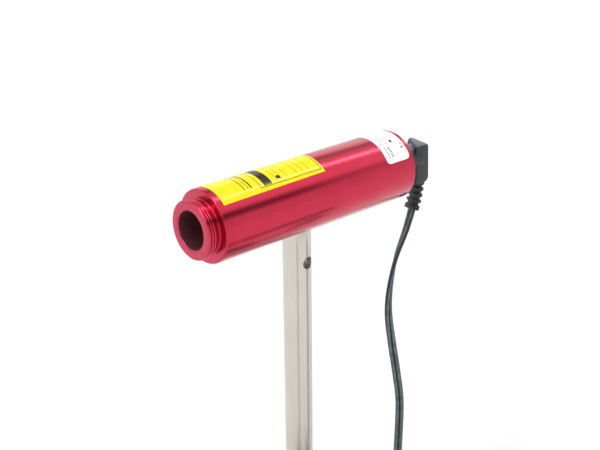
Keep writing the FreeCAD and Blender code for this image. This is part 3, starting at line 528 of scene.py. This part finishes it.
class LeadSizes(bpy.types.PropertyGroup):
    """Sizes of the twin lead and its coil."""
    width: FloatProperty(name="Width", description="Across both cores", default=3.3 * MM, unit="LENGTH")
    thickness: FloatProperty(name="Thickness", description="Across one core", default=1.65 * MM,
                             unit="LENGTH")
    length: FloatProperty(name="Length", description="From the plug to the supply", default=1.5,
                          unit="LENGTH")
    points_per_turn: IntProperty(name="Points a turn", description="Route points in a turn of the coil",
                                 default=24)


class StudioSettings(bpy.types.PropertyGroup):
    """Camera and light."""
    camera_place: FloatVectorProperty(name="Camera", description="Where the camera stands",
                                      default=(0.288, -0.25103, 0.30143), subtype="TRANSLATION")
    camera_back: FloatVectorProperty(name="Looks back along", description="From object to camera",
                                     default=(0.6920, -0.6069, 0.3909), subtype="DIRECTION")
    roll: FloatProperty(name="Roll", description="The camera's roll", default=math.radians(-0.65),
                        subtype="ANGLE")
    lens: FloatProperty(name="Focal length", description="In millimetres, on a 36 mm sensor",
                        default=73.06)
    floor_colour: FloatVectorProperty(name="Floor", description="Colour of the floor", size=4,
                                      default=(0.78, 0.78, 0.78, 1.0), subtype="COLOR")
    soft_box: FloatProperty(name="Soft box", description="Power of the soft box", default=1.5,
                            unit="POWER")
    tent: FloatProperty(name="Tent", description="Glow of the light tent between its bands",
                        default=0.95)


# ---------------------------------------------------------------- the studio's light and shade

# The tent's bands run along Y. Each is (middle in degrees from overhead towards +X, half width,
# soft edge, extra glow, and the Y of the directions where it starts to fade and has faded to a
# share of itself).
FADED_SHARE = 0.3
TENT_BANDS = [
    (-2.0, 1.5, 3.0, 8.0, 0.75, 0.95),
    (-38.0, 4.0, 6.0, -0.55, 0.8, 0.95),
    (-62.0, 7.0, 7.0, 0.35, 0.8, 0.95),
    (30.0, 10.0, 7.0, 0.35, 0.8, 0.95),
    (55.0, 6.0, 5.0, -0.8, 0.57, 0.68),
]
# Each card is (name, middle, its turn about Y and then Z in degrees, width, height). A card starts
# flat, with its height along Y.
CARDS = [
    ("tube_card", (0.0246, -0.004, 0.1317), (-38.3, 0.0), 0.0048, 0.054),
    ("near_card", (0.0236, -0.0185, 0.075), (90.0, -38.0), 0.098, 0.0040),
    ("right_card", (0.0227, 0.0196, 0.062), (90.0, 40.8), 0.124, 0.0100),
]


# ---------------------------------------------------------------- the lead's route, in metres

# It leaves the plug's strain relief, hangs, bends on to the floor and runs up to the coil.
LEAD_ROUTE = [
    (0.00106, 0.05583, 0.12973),
    (0.0016, 0.0528, 0.1229),
    (0.0013, 0.0477, 0.1134),
    (0.0016, 0.0445, 0.1026),
    (0.0017, 0.0435, 0.0922),
    (0.0020, 0.0454, 0.0795),
    (0.0025, 0.0482, 0.0640),
    (0.0032, 0.0499, 0.0515),
    (0.0040, 0.0488, 0.0388),
    (0.0049, 0.0473, 0.0274),
    (0.0066, 0.0473, 0.0170),
    (0.0116, 0.0484, 0.0082),
    (0.0194, 0.0500, 0.0033),
    (0.0284, 0.0511, 0.00205),
    (0.0372, 0.0511, 0.00205),
]
# It leaves the coil's upper row and rises to the supply.
TAIL_ROUTE = [
    (0.07198, 0.01632, 0.00535),
    (0.0720, 0.0094, 0.00535),
    (0.0721, 0.0012, 0.0034),
    (0.0721, -0.0070, 0.0022),
    (0.0720, -0.0156, 0.0038),
    (0.0674, -0.0234, 0.0070),
    (0.0596, -0.0280, 0.0100),
    (0.0505, -0.0280, 0.0100),
]
COIL_CENTRE = Vector((0.04823, 0.02735, 0))
LOWER_ROW = 0.00205
UPPER_ROW = 0.00535
# (turns from the start, radius of the turn there, height): the lower row winds inwards, the lead
# climbs at the inside in a column of its own, and the upper row winds outwards.
COIL_STATIONS = [
    (0.0, 0.02375, LOWER_ROW),
    (4.5, 0.01565, LOWER_ROW),
    (5.0, 0.01390, LOWER_ROW),
    (5.5, 0.01390, UPPER_ROW),
    (6.0, 0.01560, UPPER_ROW),
    (10.25, 0.02375, UPPER_ROW),
]
# (distance along the lead, heading of its width round the upright, how far the width stands up).
# The lead twists as it hangs, lies flat where it meets the floor and is wound on its edge.
WIDTH_FROM_PLUG = [
    (0.000, 0.0, 0.0),
    (0.008, -18.0, 0.0),
    (0.018, -44.0, 0.0),
    (0.037, -88.0, 0.0),
    (0.058, -131.0, 0.0),
    (0.112, -131.0, 0.0),
    (0.128, -92.0, 0.0),
    (0.158, -90.0, 90.0),
]
WIDTH_TO_SUPPLY = [
    (0.062, 90.0, 90.0),
    (0.010, 90.0, 60.0),
]


def between(stations, place):
    """The values at a place in a list of (place, value, value) stations, with straight lines between."""
    for before, after in zip(stations, stations[1:]):
        if place <= after[0]:
            share = (place - before[0]) / (after[0] - before[0])
            return [a + (b - a) * share for a, b in zip(before[1:], after[1:])]
    return list(stations[-1][1:])


def coil_points(per_turn):
    """Route points round the coil, a little outside its turns, because the spline runs inside them."""
    stretch = 1 / math.cos(math.pi / per_turn)
    points = []
    for number in range(round(COIL_STATIONS[-1][0] * per_turn)):
        turns = (number + 0.5) / per_turn
        radius, height = between(COIL_STATIONS, turns)
        heading = math.pi / 2 - FULL_TURN * turns
        points.append(COIL_CENTRE + Vector((radius * stretch * math.cos(heading),
                                            radius * stretch * math.sin(heading), height)))
    return points


def smooth_line(points, resolution):
    """Points along the smooth spline that has the given points as its control points."""
    curve = bpy.data.curves.new("route", "CURVE")
    curve.dimensions = "3D"
    spline = curve.splines.new("NURBS")
    spline.points.add(len(points) - 1)
    for control, point in zip(spline.points, points):
        control.co = (*point, 1.0)
    spline.order_u = 3
    spline.use_endpoint_u = True
    spline.resolution_u = resolution
    holder = bpy.data.objects.new("route", curve)
    bpy.context.scene.collection.objects.link(holder)
    bpy.context.view_layer.update()
    depsgraph = bpy.context.evaluated_depsgraph_get()
    mesh = bpy.data.meshes.new_from_object(holder.evaluated_get(depsgraph))
    line = [vert.co.copy() for vert in mesh.vertices]
    bpy.data.meshes.remove(mesh)
    bpy.data.objects.remove(holder)
    bpy.data.curves.remove(curve)
    return line


def twin_section(width, thickness):
    """The outline of two cores side by side, as (across the width, across the thickness) points."""
    lobe = thickness / 2
    middle = width / 2 - lobe
    sweep = [math.radians(angle) for angle in range(-150, 151, 30)]
    right = [(middle + lobe * math.cos(a), lobe * math.sin(a)) for a in sweep]
    left = [(-x, -y) for x, y in right]
    groove = (0.0, lobe * 0.32)
    return right + [groove] + left + [(0.0, -groove[1])]


def width_direction(walked, left):
    """Which way the lead's width points, before it is squared to the line."""
    if left < WIDTH_TO_SUPPLY[0][0]:
        heading, rise = between([(-place, *values) for place, *values in WIDTH_TO_SUPPLY], -left)
    else:
        heading, rise = between(WIDTH_FROM_PLUG, walked)
    heading, rise = math.radians(heading), math.radians(rise)
    return Vector((math.cos(heading) * math.cos(rise), math.sin(heading) * math.cos(rise),
                   math.sin(rise)))


def lead_rings(line, section):
    """The section set square to the line at each of its points."""
    steps = [0.0]
    for before, here in zip(line, line[1:]):
        steps.append(steps[-1] + (here - before).length)
    rings = []
    for number, (here, walked) in enumerate(zip(line, steps)):
        before = line[max(number - 1, 0)]
        after = line[min(number + 1, len(line) - 1)]
        forward = (after - before).normalized()
        across = width_direction(walked, steps[-1] - walked)
        across = (across - forward * across.dot(forward)).normalized()
        through = forward.cross(across)
        rings.append([here + across * x + through * y for x, y in section])
    return rings


# ---------------------------------------------------------------- operators

class LASER_OT_stage(bpy.types.Operator):
    """Sets up the camera, the pale floor and the soft studio light"""
    bl_idname = "laser.stage"
    bl_label = "Stage"

    def execute(self, context):
        studio = context.scene.laser_studio
        context.scene.view_settings.view_transform = "Standard"
        data = bpy.data.cameras.new("camera")
        data.lens = studio.lens
        data.sensor_width = 36.0
        data.clip_start = 0.01
        camera = bpy.data.objects.new("camera", data)
        context.scene.collection.objects.link(camera)
        back = Vector(studio.camera_back)
        turned = back.to_track_quat("Z", "Y") @ Quaternion((0, 0, 1), studio.roll)
        camera.matrix_world = Matrix.Translation(studio.camera_place) @ turned.to_matrix().to_4x4()
        context.scene.camera = camera
        self.floor(studio)
        self.lights(context, studio)
        self.cards()
        self.sky(context, studio)
        return {"FINISHED"}

    def floor(self, studio):
        """A wide pale floor that keeps soft contact shadows."""
        material, tree, shader = new_finish("matt white paper", Roughness=0.85)
        shader.inputs["Base Color"].default_value = studio.floor_colour
        place = add_node(tree, "ShaderNodeTexCoord", output="Object")
        pulp = add_node(tree, "ShaderNodeTexNoise", {"Vector": place, "Scale": waves(16.7)})
        relief = add_node(tree, "ShaderNodeBump", {"Height": pulp, "Distance": 0.05 * MM})
        tree.links.new(relief, shader.inputs["Normal"])
        bm = bmesh.new()
        bmesh.ops.create_circle(bm, cap_ends=True, segments=96, radius=4.0)
        new_object("floor", bm, material)

    def lights(self, context, studio):
        """One weak soft box over the camera's left shoulder, which models the round forms."""
        data = bpy.data.lights.new("soft_box", "AREA")
        data.shape = "RECTANGLE"
        data.size = 0.9
        data.size_y = 0.6
        data.energy = studio.soft_box
        light = bpy.data.objects.new("soft_box", data)
        context.scene.collection.objects.link(light)
        place, aim = Vector((-0.35, -1.1, 0.9)), Vector((0, 0, 0.13))
        turned = (place - aim).to_track_quat("Z", "Y")
        light.matrix_world = Matrix.Translation(place) @ turned.to_matrix().to_4x4()

    def cards(self):
        """Narrow grey cards that show only as dark lines in the metal."""
        material, _, shader = new_finish("grey card", Roughness=0.9, Specular_IOR_Level=0.0)
        shader.inputs["Base Color"].default_value = linear("B8B8B8")
        for name, place, (tipped, turned), width, height in CARDS:
            bm = bmesh.new()
            bmesh.ops.create_grid(bm, x_segments=1, y_segments=1, size=0.5)
            bmesh.ops.scale(bm, vec=(width, height, 1), verts=bm.verts)
            for angle, axis in ((tipped, "Y"), (turned, "Z")):
                bmesh.ops.rotate(bm, matrix=Matrix.Rotation(math.radians(angle), 3, axis), verts=bm.verts)
            bmesh.ops.translate(bm, vec=place, verts=bm.verts)
            card = new_object(name, bm, material)
            card.visible_camera = False
            card.visible_diffuse = False
            card.visible_shadow = False

    def sky(self, context, studio):
        """A light tent with bands of light and shade along the tube, plain white to the camera."""
        world = bpy.data.worlds.new("light tent")
        context.scene.world = world
        world.use_nodes = True
        tree = world.node_tree
        heading = add_node(tree, "ShaderNodeTexCoord", output="Generated")
        parts = add_node(tree, "ShaderNodeSeparateXYZ", {"Vector": heading}).node.outputs
        angle = add_node(tree, "ShaderNodeMath", {0: parts["X"], 1: parts["Z"]}, operation="ARCTAN2")
        glow = studio.tent
        for middle, half, soft, value, starts, ends in TENT_BANDS:
            aside = add_node(tree, "ShaderNodeMath", {0: angle, 1: math.radians(middle)},
                             operation="SUBTRACT")
            aside = add_node(tree, "ShaderNodeMath", {0: aside}, operation="ABSOLUTE")
            band = add_node(tree, "ShaderNodeMapRange", {
                "Value": aside, "From Min": math.radians(half), "From Max": math.radians(half + soft),
                "To Min": value, "To Max": 0.0}, interpolation_type="SMOOTHSTEP")
            run = add_node(tree, "ShaderNodeMapRange", {
                "Value": parts["Y"], "From Min": starts, "From Max": ends, "To Min": 1.0,
                "To Max": FADED_SHARE}, interpolation_type="SMOOTHSTEP")
            band = add_node(tree, "ShaderNodeMath", {0: band, 1: run}, operation="MULTIPLY")
            glow = add_node(tree, "ShaderNodeMath", {0: band, 1: glow}, operation="ADD")
        tent = tree.nodes["Background"]
        tree.links.new(glow, tent.inputs["Strength"])
        tent.inputs["Color"].default_value = linear("FFFFFF")
        seen = add_node(tree, "ShaderNodeBackground", {"Color": linear("FFFFFF"), "Strength": 1.05})
        rays = add_node(tree, "ShaderNodeLightPath", output="Is Camera Ray")
        mix = add_node(tree, "ShaderNodeMixShader", {"Fac": rays, 1: tent.outputs[0], 2: seen})
        tree.links.new(mix, tree.nodes["World Output"].inputs["Surface"])


class LASER_OT_lead(bpy.types.Operator):
    """Makes the twin lead from the plug to the coil and on to the supply"""
    bl_idname = "laser.lead"
    bl_label = "Power lead"

    def execute(self, context):
        sizes = context.scene.laser_lead
        route = ([Vector(point) for point in LEAD_ROUTE] + coil_points(sizes.points_per_turn)
                 + [Vector(point) for point in TAIL_ROUTE])
        line = smooth_line(route, resolution=5)
        section = twin_section(sizes.width, sizes.thickness)
        bm = bmesh.new()
        # The crest layer marks where the painted highlight falls on each core.
        run_along(bm, lead_rings(line, section), layer=bm.verts.layers.float.new("crest"),
                  marks=[abs(through) * 2 / sizes.thickness for _, through in section])
        bmesh.ops.recalc_face_normals(bm, faces=bm.faces)
        lead = to_piece("lead", bm, "grey_lead")
        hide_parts("power_lead", "power_lead_coil", "power_lead_tail")
        return {"FINISHED"}


class LASER_OT_coil_strap(bpy.types.Operator):
    """Straps the coil's turns together with one flat band"""
    bl_idname = "laser.coil_strap"
    bl_label = "Coil strap"

    def execute(self, context):
        inner, outer, top = 12.2 * MM, 25.2 * MM, 7.75 * MM
        band, width, corner, rim = 0.4 * MM, 6.0 * MM, 1.5 * MM, 0.1 * MM
        heading = math.radians(215.0)
        bm = bmesh.new()
        bmesh.ops.create_cube(bm, size=1.0)
        for vert in bm.verts:
            vert.co = Vector((inner if vert.co.x < 0 else outer, vert.co.y * width,
                              0.0 if vert.co.z < 0 else top))
        ends = [face for face in bm.faces if abs(face.normal.y) > 0.9]
        bmesh.ops.delete(bm, geom=ends, context="FACES_ONLY")
        long_edges = [edge for edge in bm.edges
                      if abs(edge.verts[0].co.y - edge.verts[1].co.y) > width / 2]
        soften(bm, corner, 5, chosen=long_edges)
        bmesh.ops.recalc_face_normals(bm, faces=bm.faces)
        bmesh.ops.solidify(bm, geom=bm.faces[:], thickness=band)
        close_and_turn_out(bm)
        soften(bm, rim, 2, angle=math.radians(60))
        turned = Matrix.Rotation(heading, 4, "Z")
        bmesh.ops.transform(bm, matrix=Matrix.Translation(COIL_CENTRE) @ turned, verts=bm.verts)
        strap = to_piece("coil_strap", bm, "black_abs")
        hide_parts("lead_tie")
        return {"FINISHED"}


class LASER_OT_housing(bpy.types.Operator):
    """Turns the crimson tube, with the thread on its nose and its two lower holes"""
    bl_idname = "laser.housing"
    bl_label = "Housing"

    def execute(self, context):
        sizes = context.scene.laser_housing
        aperture = sizes.aperture / 2
        shoulder = NOSE_END + sizes.nose_length
        # The nose: a chamfered land, the neck that carries the thread, and the groove at its end.
        crest = sizes.nose / 2
        chamfer = 0.4 * MM
        land_end = NOSE_END + 0.5 * MM
        neck = land_end + 0.15 * MM
        root = crest - sizes.thread_depth
        neck_end = shoulder - 1.3 * MM
        groove = shoulder - 1.1 * MM
        groove_floor = crest - 0.8 * MM
        inner_chamfer = 0.17 * MM
        # The inside: the bore behind the front wall, and the wider seat of the rear cap.
        wall_end = shoulder + 4.0 * MM
        bore = 9.0 * MM
        cap_seat = REAR - 2.4 * MM
        cap_radius = 10.8 * MM
        bm = bmesh.new()
        turn(bm, [
            (NOSE_END, aperture + EDGE_BREAK),
            (NOSE_END, crest - chamfer),
            (NOSE_END + EDGE_BREAK, crest),
            (land_end, crest),
            (neck, root),
            (neck_end, root),
            (groove, groove_floor),
            (shoulder - inner_chamfer, groove_floor),
            (shoulder, groove_floor + inner_chamfer),
            (shoulder, TUBE_RADIUS - EDGE_BREAK),
            (shoulder + EDGE_BREAK, TUBE_RADIUS),
            (REAR - EDGE_BREAK, TUBE_RADIUS),
            (REAR, TUBE_RADIUS - EDGE_BREAK),
            (REAR, cap_radius),
            (cap_seat, cap_radius),
            (cap_seat, bore),
            (wall_end, bore),
            (wall_end, aperture),
            (NOSE_END + EDGE_BREAK, aperture),
        ])
        close_and_turn_out(bm)
        soften(bm, 0.09 * MM, 2, angle=math.radians(20))
        housing = to_piece("housing_shell", bm, "crimson_anodised")
        # The rod's seat and the cap screw's hole: (place along the tube, radius, height of its top).
        depth = 10.0 * MM
        drill(housing, [
            (radius, depth, Matrix.Translation(AXIS + Vector((0, along, top - depth / 2))))
            for along, radius, top in ((0.0, 5.04 * MM, -11.45 * MM),
                                       (REAR - 5.6 * MM, 1.5 * MM, -8.0 * MM))])
        self.thread(housing, sizes, root)
        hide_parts("housing")
        return {"FINISHED"}

    def thread(self, housing, sizes, root):
        """Adds the helical ridge, which fades out over its first and last quarter turn."""
        steps_per_turn = 120
        steps = round(sizes.thread_turns * steps_per_turn)
        start = NOSE_END + 0.44 * MM
        half = sizes.thread_pitch * 0.42
        flat = half * 0.3
        # The ridge's foot is sunk in the neck, and its crest stays a hair under the land's.
        foot = root - 0.08 * MM
        crest = root + sizes.thread_depth - 0.03 * MM
        profile = [(-half, foot), (-flat, crest), (flat, crest), (half, foot)]
        bm = bmesh.new()
        points = [AXIS + Vector((radius, start + along, 0)) for along, radius in profile]
        verts, edges = string_of_edges(bm, points, closed=True)
        bmesh.ops.spin(bm, geom=verts + edges, cent=AXIS, axis=ALONG_Y,
                       angle=FULL_TURN * sizes.thread_turns, steps=steps,
                       dvec=ALONG_Y * sizes.thread_pitch / steps_per_turn,
                       use_merge=False, use_duplicate=False)
        bm.verts.ensure_lookup_table()
        fade = steps_per_turn / 4
        least = 0.02
        for vert in bm.verts:
            section = vert.index // len(profile)
            share = min(1.0, section / fade, (steps - section) / fade)
            away = Vector((vert.co.x, 0, vert.co.z - AXIS.z))
            lowered = foot + (away.length - foot) * (least + (1 - least) * share)
            middle = away.normalized() * lowered
            vert.co = Vector((middle.x, vert.co.y, middle.z + AXIS.z))
        ends = [edge for edge in bm.edges if edge.is_boundary]
        bmesh.ops.holes_fill(bm, edges=ends, sides=len(profile))
        bmesh.ops.recalc_face_normals(bm, faces=bm.faces)
        bm.from_mesh(housing.data)
        show_creases(bm, math.radians(28))
        bm.to_mesh(housing.data)
        bm.free()


class LASER_OT_long_label(bpy.types.Operator):
    """Wraps the long yellow label over the tube, laid a hair askew by hand"""
    bl_idname = "laser.long_label"
    bl_label = "Long label"

    def execute(self, context):
        sizes = context.scene.laser_housing
        low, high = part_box("yellow_label")
        outer = high.z - AXIS.z
        bm = bmesh.new()
        bmesh.ops.create_grid(bm, x_segments=48, y_segments=1, size=0.5)
        bmesh.ops.scale(bm, vec=(2 * sizes.label_half_width, sizes.label_length, 1), verts=bm.verts)
        askew = math.tan(sizes.label_askew)
        for vert in bm.verts:
            angle = (vert.co.x - vert.co.y * askew) / outer
            along = low.y + sizes.label_length / 2 + vert.co.y
            vert.co = AXIS + Vector((outer * math.sin(angle), along, outer * math.cos(angle)))
        bmesh.ops.recalc_face_normals(bm, faces=bm.faces)
        bmesh.ops.solidify(bm, geom=bm.faces[:], thickness=outer - TUBE_RADIUS)
        close_and_turn_out(bm)
        label = to_piece("long_label", bm, "yellow_film")
        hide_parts("yellow_label")
        return {"FINISHED"}


class LASER_OT_rod(bpy.types.Operator):
    """Makes the stand rod, with its cross hole and the hole for its stud"""
    bl_idname = "laser.rod"
    bl_label = "Stand rod"

    def execute(self, context):
        low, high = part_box("stand_rod")
        radius = (high.x - low.x) / 2
        stud, stud_depth = 2.5 * MM, 10.0 * MM
        hole, hole_drop, hole_turned = 2.2 * MM, 23.6 * MM, math.radians(9.0)
        bm = bmesh.new()
        turn(bm, [
            (low.z, 0.0),
            (low.z, radius - EDGE_BREAK),
            (low.z + EDGE_BREAK, radius),
            (high.z, radius),
            (high.z, stud),
            (high.z - stud_depth, stud),
            (high.z - stud_depth, 0.0),
        ], centre=Vector(), axis=Vector((0, 0, 1)), steps=128, closed=False)
        close_and_turn_out(bm)
        rod = to_piece("rod", bm, "satin_rod")
        place = (Matrix.Translation((0, 0, AXIS.z - hole_drop)) @ Matrix.Rotation(hole_turned, 4, "Z")
                 @ Matrix.Rotation(math.pi / 2, 4, "Y"))
        drill(rod, [(hole, radius * 4, place)])
        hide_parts("stand_rod")
        return {"FINISHED"}


class LASER_OT_plug(bpy.types.Operator):
    """Moulds the plug's block, its boss and its ribbed strain relief"""
    bl_idname = "laser.plug"
    bl_label = "Plug"

    def execute(self, context):
        sizes = context.scene.laser_plug
        low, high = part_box("plug_moulding")
        bm = bmesh.new()
        self.block(bm, sizes, high.y)
        self.boss(bm, low.y)
        self.relief(bm, sizes, high.y)
        bmesh.ops.recalc_face_normals(bm, faces=bm.faces)
        turned = Matrix.Rotation(-sizes.turned, 4, "Y")
        bmesh.ops.transform(bm, matrix=Matrix.Translation(AXIS) @ turned, verts=bm.verts)
        plug = to_piece("plug", bm, "grey_moulding")
        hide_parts("plug_moulding")
        return {"FINISHED"}

    def block(self, bm, sizes, back):
        """The block, drafted and slanted towards its front, with a chamfer under its back.

        Its +X side is a little wider and lower than its -X side."""
        draft = sizes.depth * math.tan(math.radians(3.0))
        slope = math.tan(math.radians(1.0))
        wider, raised, lowered, chamfer = 0.4 * MM, 0.75 * MM, 0.2 * MM, 1.45 * MM
        bmesh.ops.create_cube(bm, size=1.0)
        for vert in bm.verts:
            at_back, at_left, at_top = vert.co.y > 0, vert.co.x < 0, vert.co.z > 0
            depth = sizes.shallow_corner if at_left and at_top else sizes.depth
            half = sizes.width / 2 + (0.0 if at_left else wider)
            top = sizes.above + (raised if at_left else -lowered)
            if at_back:
                depth = 0.0
            elif not at_left:
                half -= draft
            vert.co = Vector((math.copysign(half, vert.co.x), back - depth,
                              top - depth * slope if at_top else -sizes.below))
        near = 1.0 * MM
        low_back = [edge for edge in bm.edges
                    if all(vert.co.y > back - near and vert.co.z < near - sizes.below
                           for vert in edge.verts)]
        soften(bm, chamfer, 1, chosen=low_back)
        soften(bm, sizes.edge, 4, angle=math.radians(20))

    def boss(self, bm, front):
        """The round part that enters the socket, flared where it runs into the block."""
        radius = 4.6 * MM
        straight_end = front + 8.0 * MM
        root = front + 11.5 * MM
        turn(bm, [
            (front, 0.0),
            (front, radius - EDGE_BREAK),
            (front + EDGE_BREAK, radius),
            (straight_end, radius),
            (root - 1.0 * MM, radius + 0.45 * MM),
            (root - 0.4 * MM, radius + 0.35 * MM),
            (root, radius - 0.3 * MM),
            (root, 0.0),
        ], steps=72, centre=Vector(), closed=False)
        bmesh.ops.remove_doubles(bm, verts=bm.verts, dist=MERGE)

    def relief(self, bm, sizes, back):
        """Ribs and a collar on a waisted core, all oval, on an axis that bends forwards."""
        width, thickness, length = 6.8 * MM, 3.4 * MM, 11.2 * MM
        lean_start, lean_end = math.radians(8.0), math.radians(25.0)
        bend = length / (lean_end - lean_start)
        # How far the axis starts in from the block's back, and how far the core is sunk in it.
        inset, sunk = 1.5 * MM, 0.8 * MM
        # The core and a ridge's brow, as shares of the full section, and where a ridge is rounded.
        core, brow = 0.76, 0.93
        rise, rounding = 0.04 * MM, 0.28 * MM
        rib, collar = 1.35 * MM, 2.0 * MM
        pitch = (length - collar) / sizes.ribs
        stations = [(-sunk, core)]
        ridges = [(number * pitch, rib) for number in range(sizes.ribs)]
        for start, thick in ridges + [(length - collar, collar)]:
            end = start + thick
            stations += [(start, core), (start + rise, brow), (start + rounding, 1.0),
                         (end - rounding, 1.0), (end - rise, brow), (end, core)]
        rings = []
        for distance, scale in stations:
            lean = lean_start + distance / bend
            centre = Vector((0, back - inset - bend * (math.cos(lean_start) - math.cos(lean)),
                             -sizes.below - bend * (math.sin(lean) - math.sin(lean_start))))
            through = Vector((0, math.cos(lean), -math.sin(lean)))
            rings.append([centre + Vector((width / 2 * scale * math.cos(a), 0, 0))
                          + through * (thickness / 2 * scale * math.sin(a))
                          for a in (FULL_TURN * n / 40 for n in range(40))])
        run_along(bm, rings)


class LASER_OT_supply_entry(bpy.types.Operator):
    """Makes the ribbed, tapered entry where the lead goes into the plug-in supply"""
    bl_idname = "laser.supply_entry"
    bl_label = "Supply entry"

    def execute(self, context):
        low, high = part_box("supply_relief")
        centre = Vector((0, (low.y + high.y) / 2, (low.z + high.z) / 2))
        wide, narrow, edge = 3.0 * MM, 2.325 * MM, 0.3 * MM
        grooves, groove_depth = 5, 0.5 * MM
        length = high.x - low.x
        pitches = grooves + 0.2
        profile = [(low.x, 0.0), (low.x, wide)]
        for number in range(grooves):
            for step, sunk in ((0.35, 0.0), (0.41, groove_depth), (0.65, groove_depth), (0.71, 0.0)):
                share = (number + step) / pitches
                profile.append((low.x + length * share, wide + (narrow - wide) * share - sunk))
        profile += [(high.x - edge, narrow), (high.x, narrow - edge), (high.x, 0.0)]
        bm = bmesh.new()
        turn(bm, profile, steps=64, centre=centre, axis=ALONG_X, closed=False)
        close_and_turn_out(bm)
        entry = to_piece("supply_entry", bm, "grey_moulding")
        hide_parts("supply_relief")
        return {"FINISHED"}


class LASER_OT_node_finishes(bpy.types.Operator):
    """Gives every CAD node that stays its own finish"""
    bl_idname = "laser.node_finishes"
    bl_label = "Finishes of the CAD parts"

    def execute(self, context):
        for part in frame["record"]["subparts"]:
            if not frame["nodes"][part["node"]].hide_render:
                finish_node(part["node"], FINISHES[part["material_slot"]])
        return {"FINISHED"}


class LASER_PT_panel(bpy.types.Panel):
    """Lists the sizes and the steps of the laser module"""
    bl_label = "Laser module"
    bl_idname = "LASER_PT_panel"
    bl_space_type = "VIEW_3D"
    bl_region_type = "UI"
    bl_category = "Laser module"

    def draw(self, context):
        for name in GROUPS:
            group = getattr(context.scene, name)
            box = self.layout.box()
            for value in group.__annotations__:
                box.prop(group, value)
        for operator in OPERATORS:
            self.layout.operator(operator.bl_idname)


GROUPS = {
    "laser_colours": FinishColours,
    "laser_housing": HousingSizes,
    "laser_plug": PlugSizes,
    "laser_lead": LeadSizes,
    "laser_studio": StudioSettings,
}
OPERATORS = [LASER_OT_stage, LASER_OT_coil_strap, LASER_OT_supply_entry, LASER_OT_lead,
             LASER_OT_housing, LASER_OT_long_label, LASER_OT_rod, LASER_OT_plug,
             LASER_OT_node_finishes]


def register():
    for name, group in GROUPS.items():
        bpy.utils.register_class(group)
        setattr(bpy.types.Scene, name, PointerProperty(type=group))
    for operator in OPERATORS:
        bpy.utils.register_class(operator)
    bpy.utils.register_class(LASER_PT_panel)


def unregister():
    bpy.utils.unregister_class(LASER_PT_panel)
    for operator in reversed(OPERATORS):
        bpy.utils.unregister_class(operator)
    for name, group in GROUPS.items():
        delattr(bpy.types.Scene, name)
        bpy.utils.unregister_class(group)


def main():
    """Builds the whole scene."""
    register()
    FINISHES.update(make_finishes(bpy.context.scene.laser_colours))
    for step in OPERATORS:
        group, name = step.bl_idname.split(".")
        getattr(getattr(bpy.ops, group), name)()


if __name__ == "__main__":
    main()
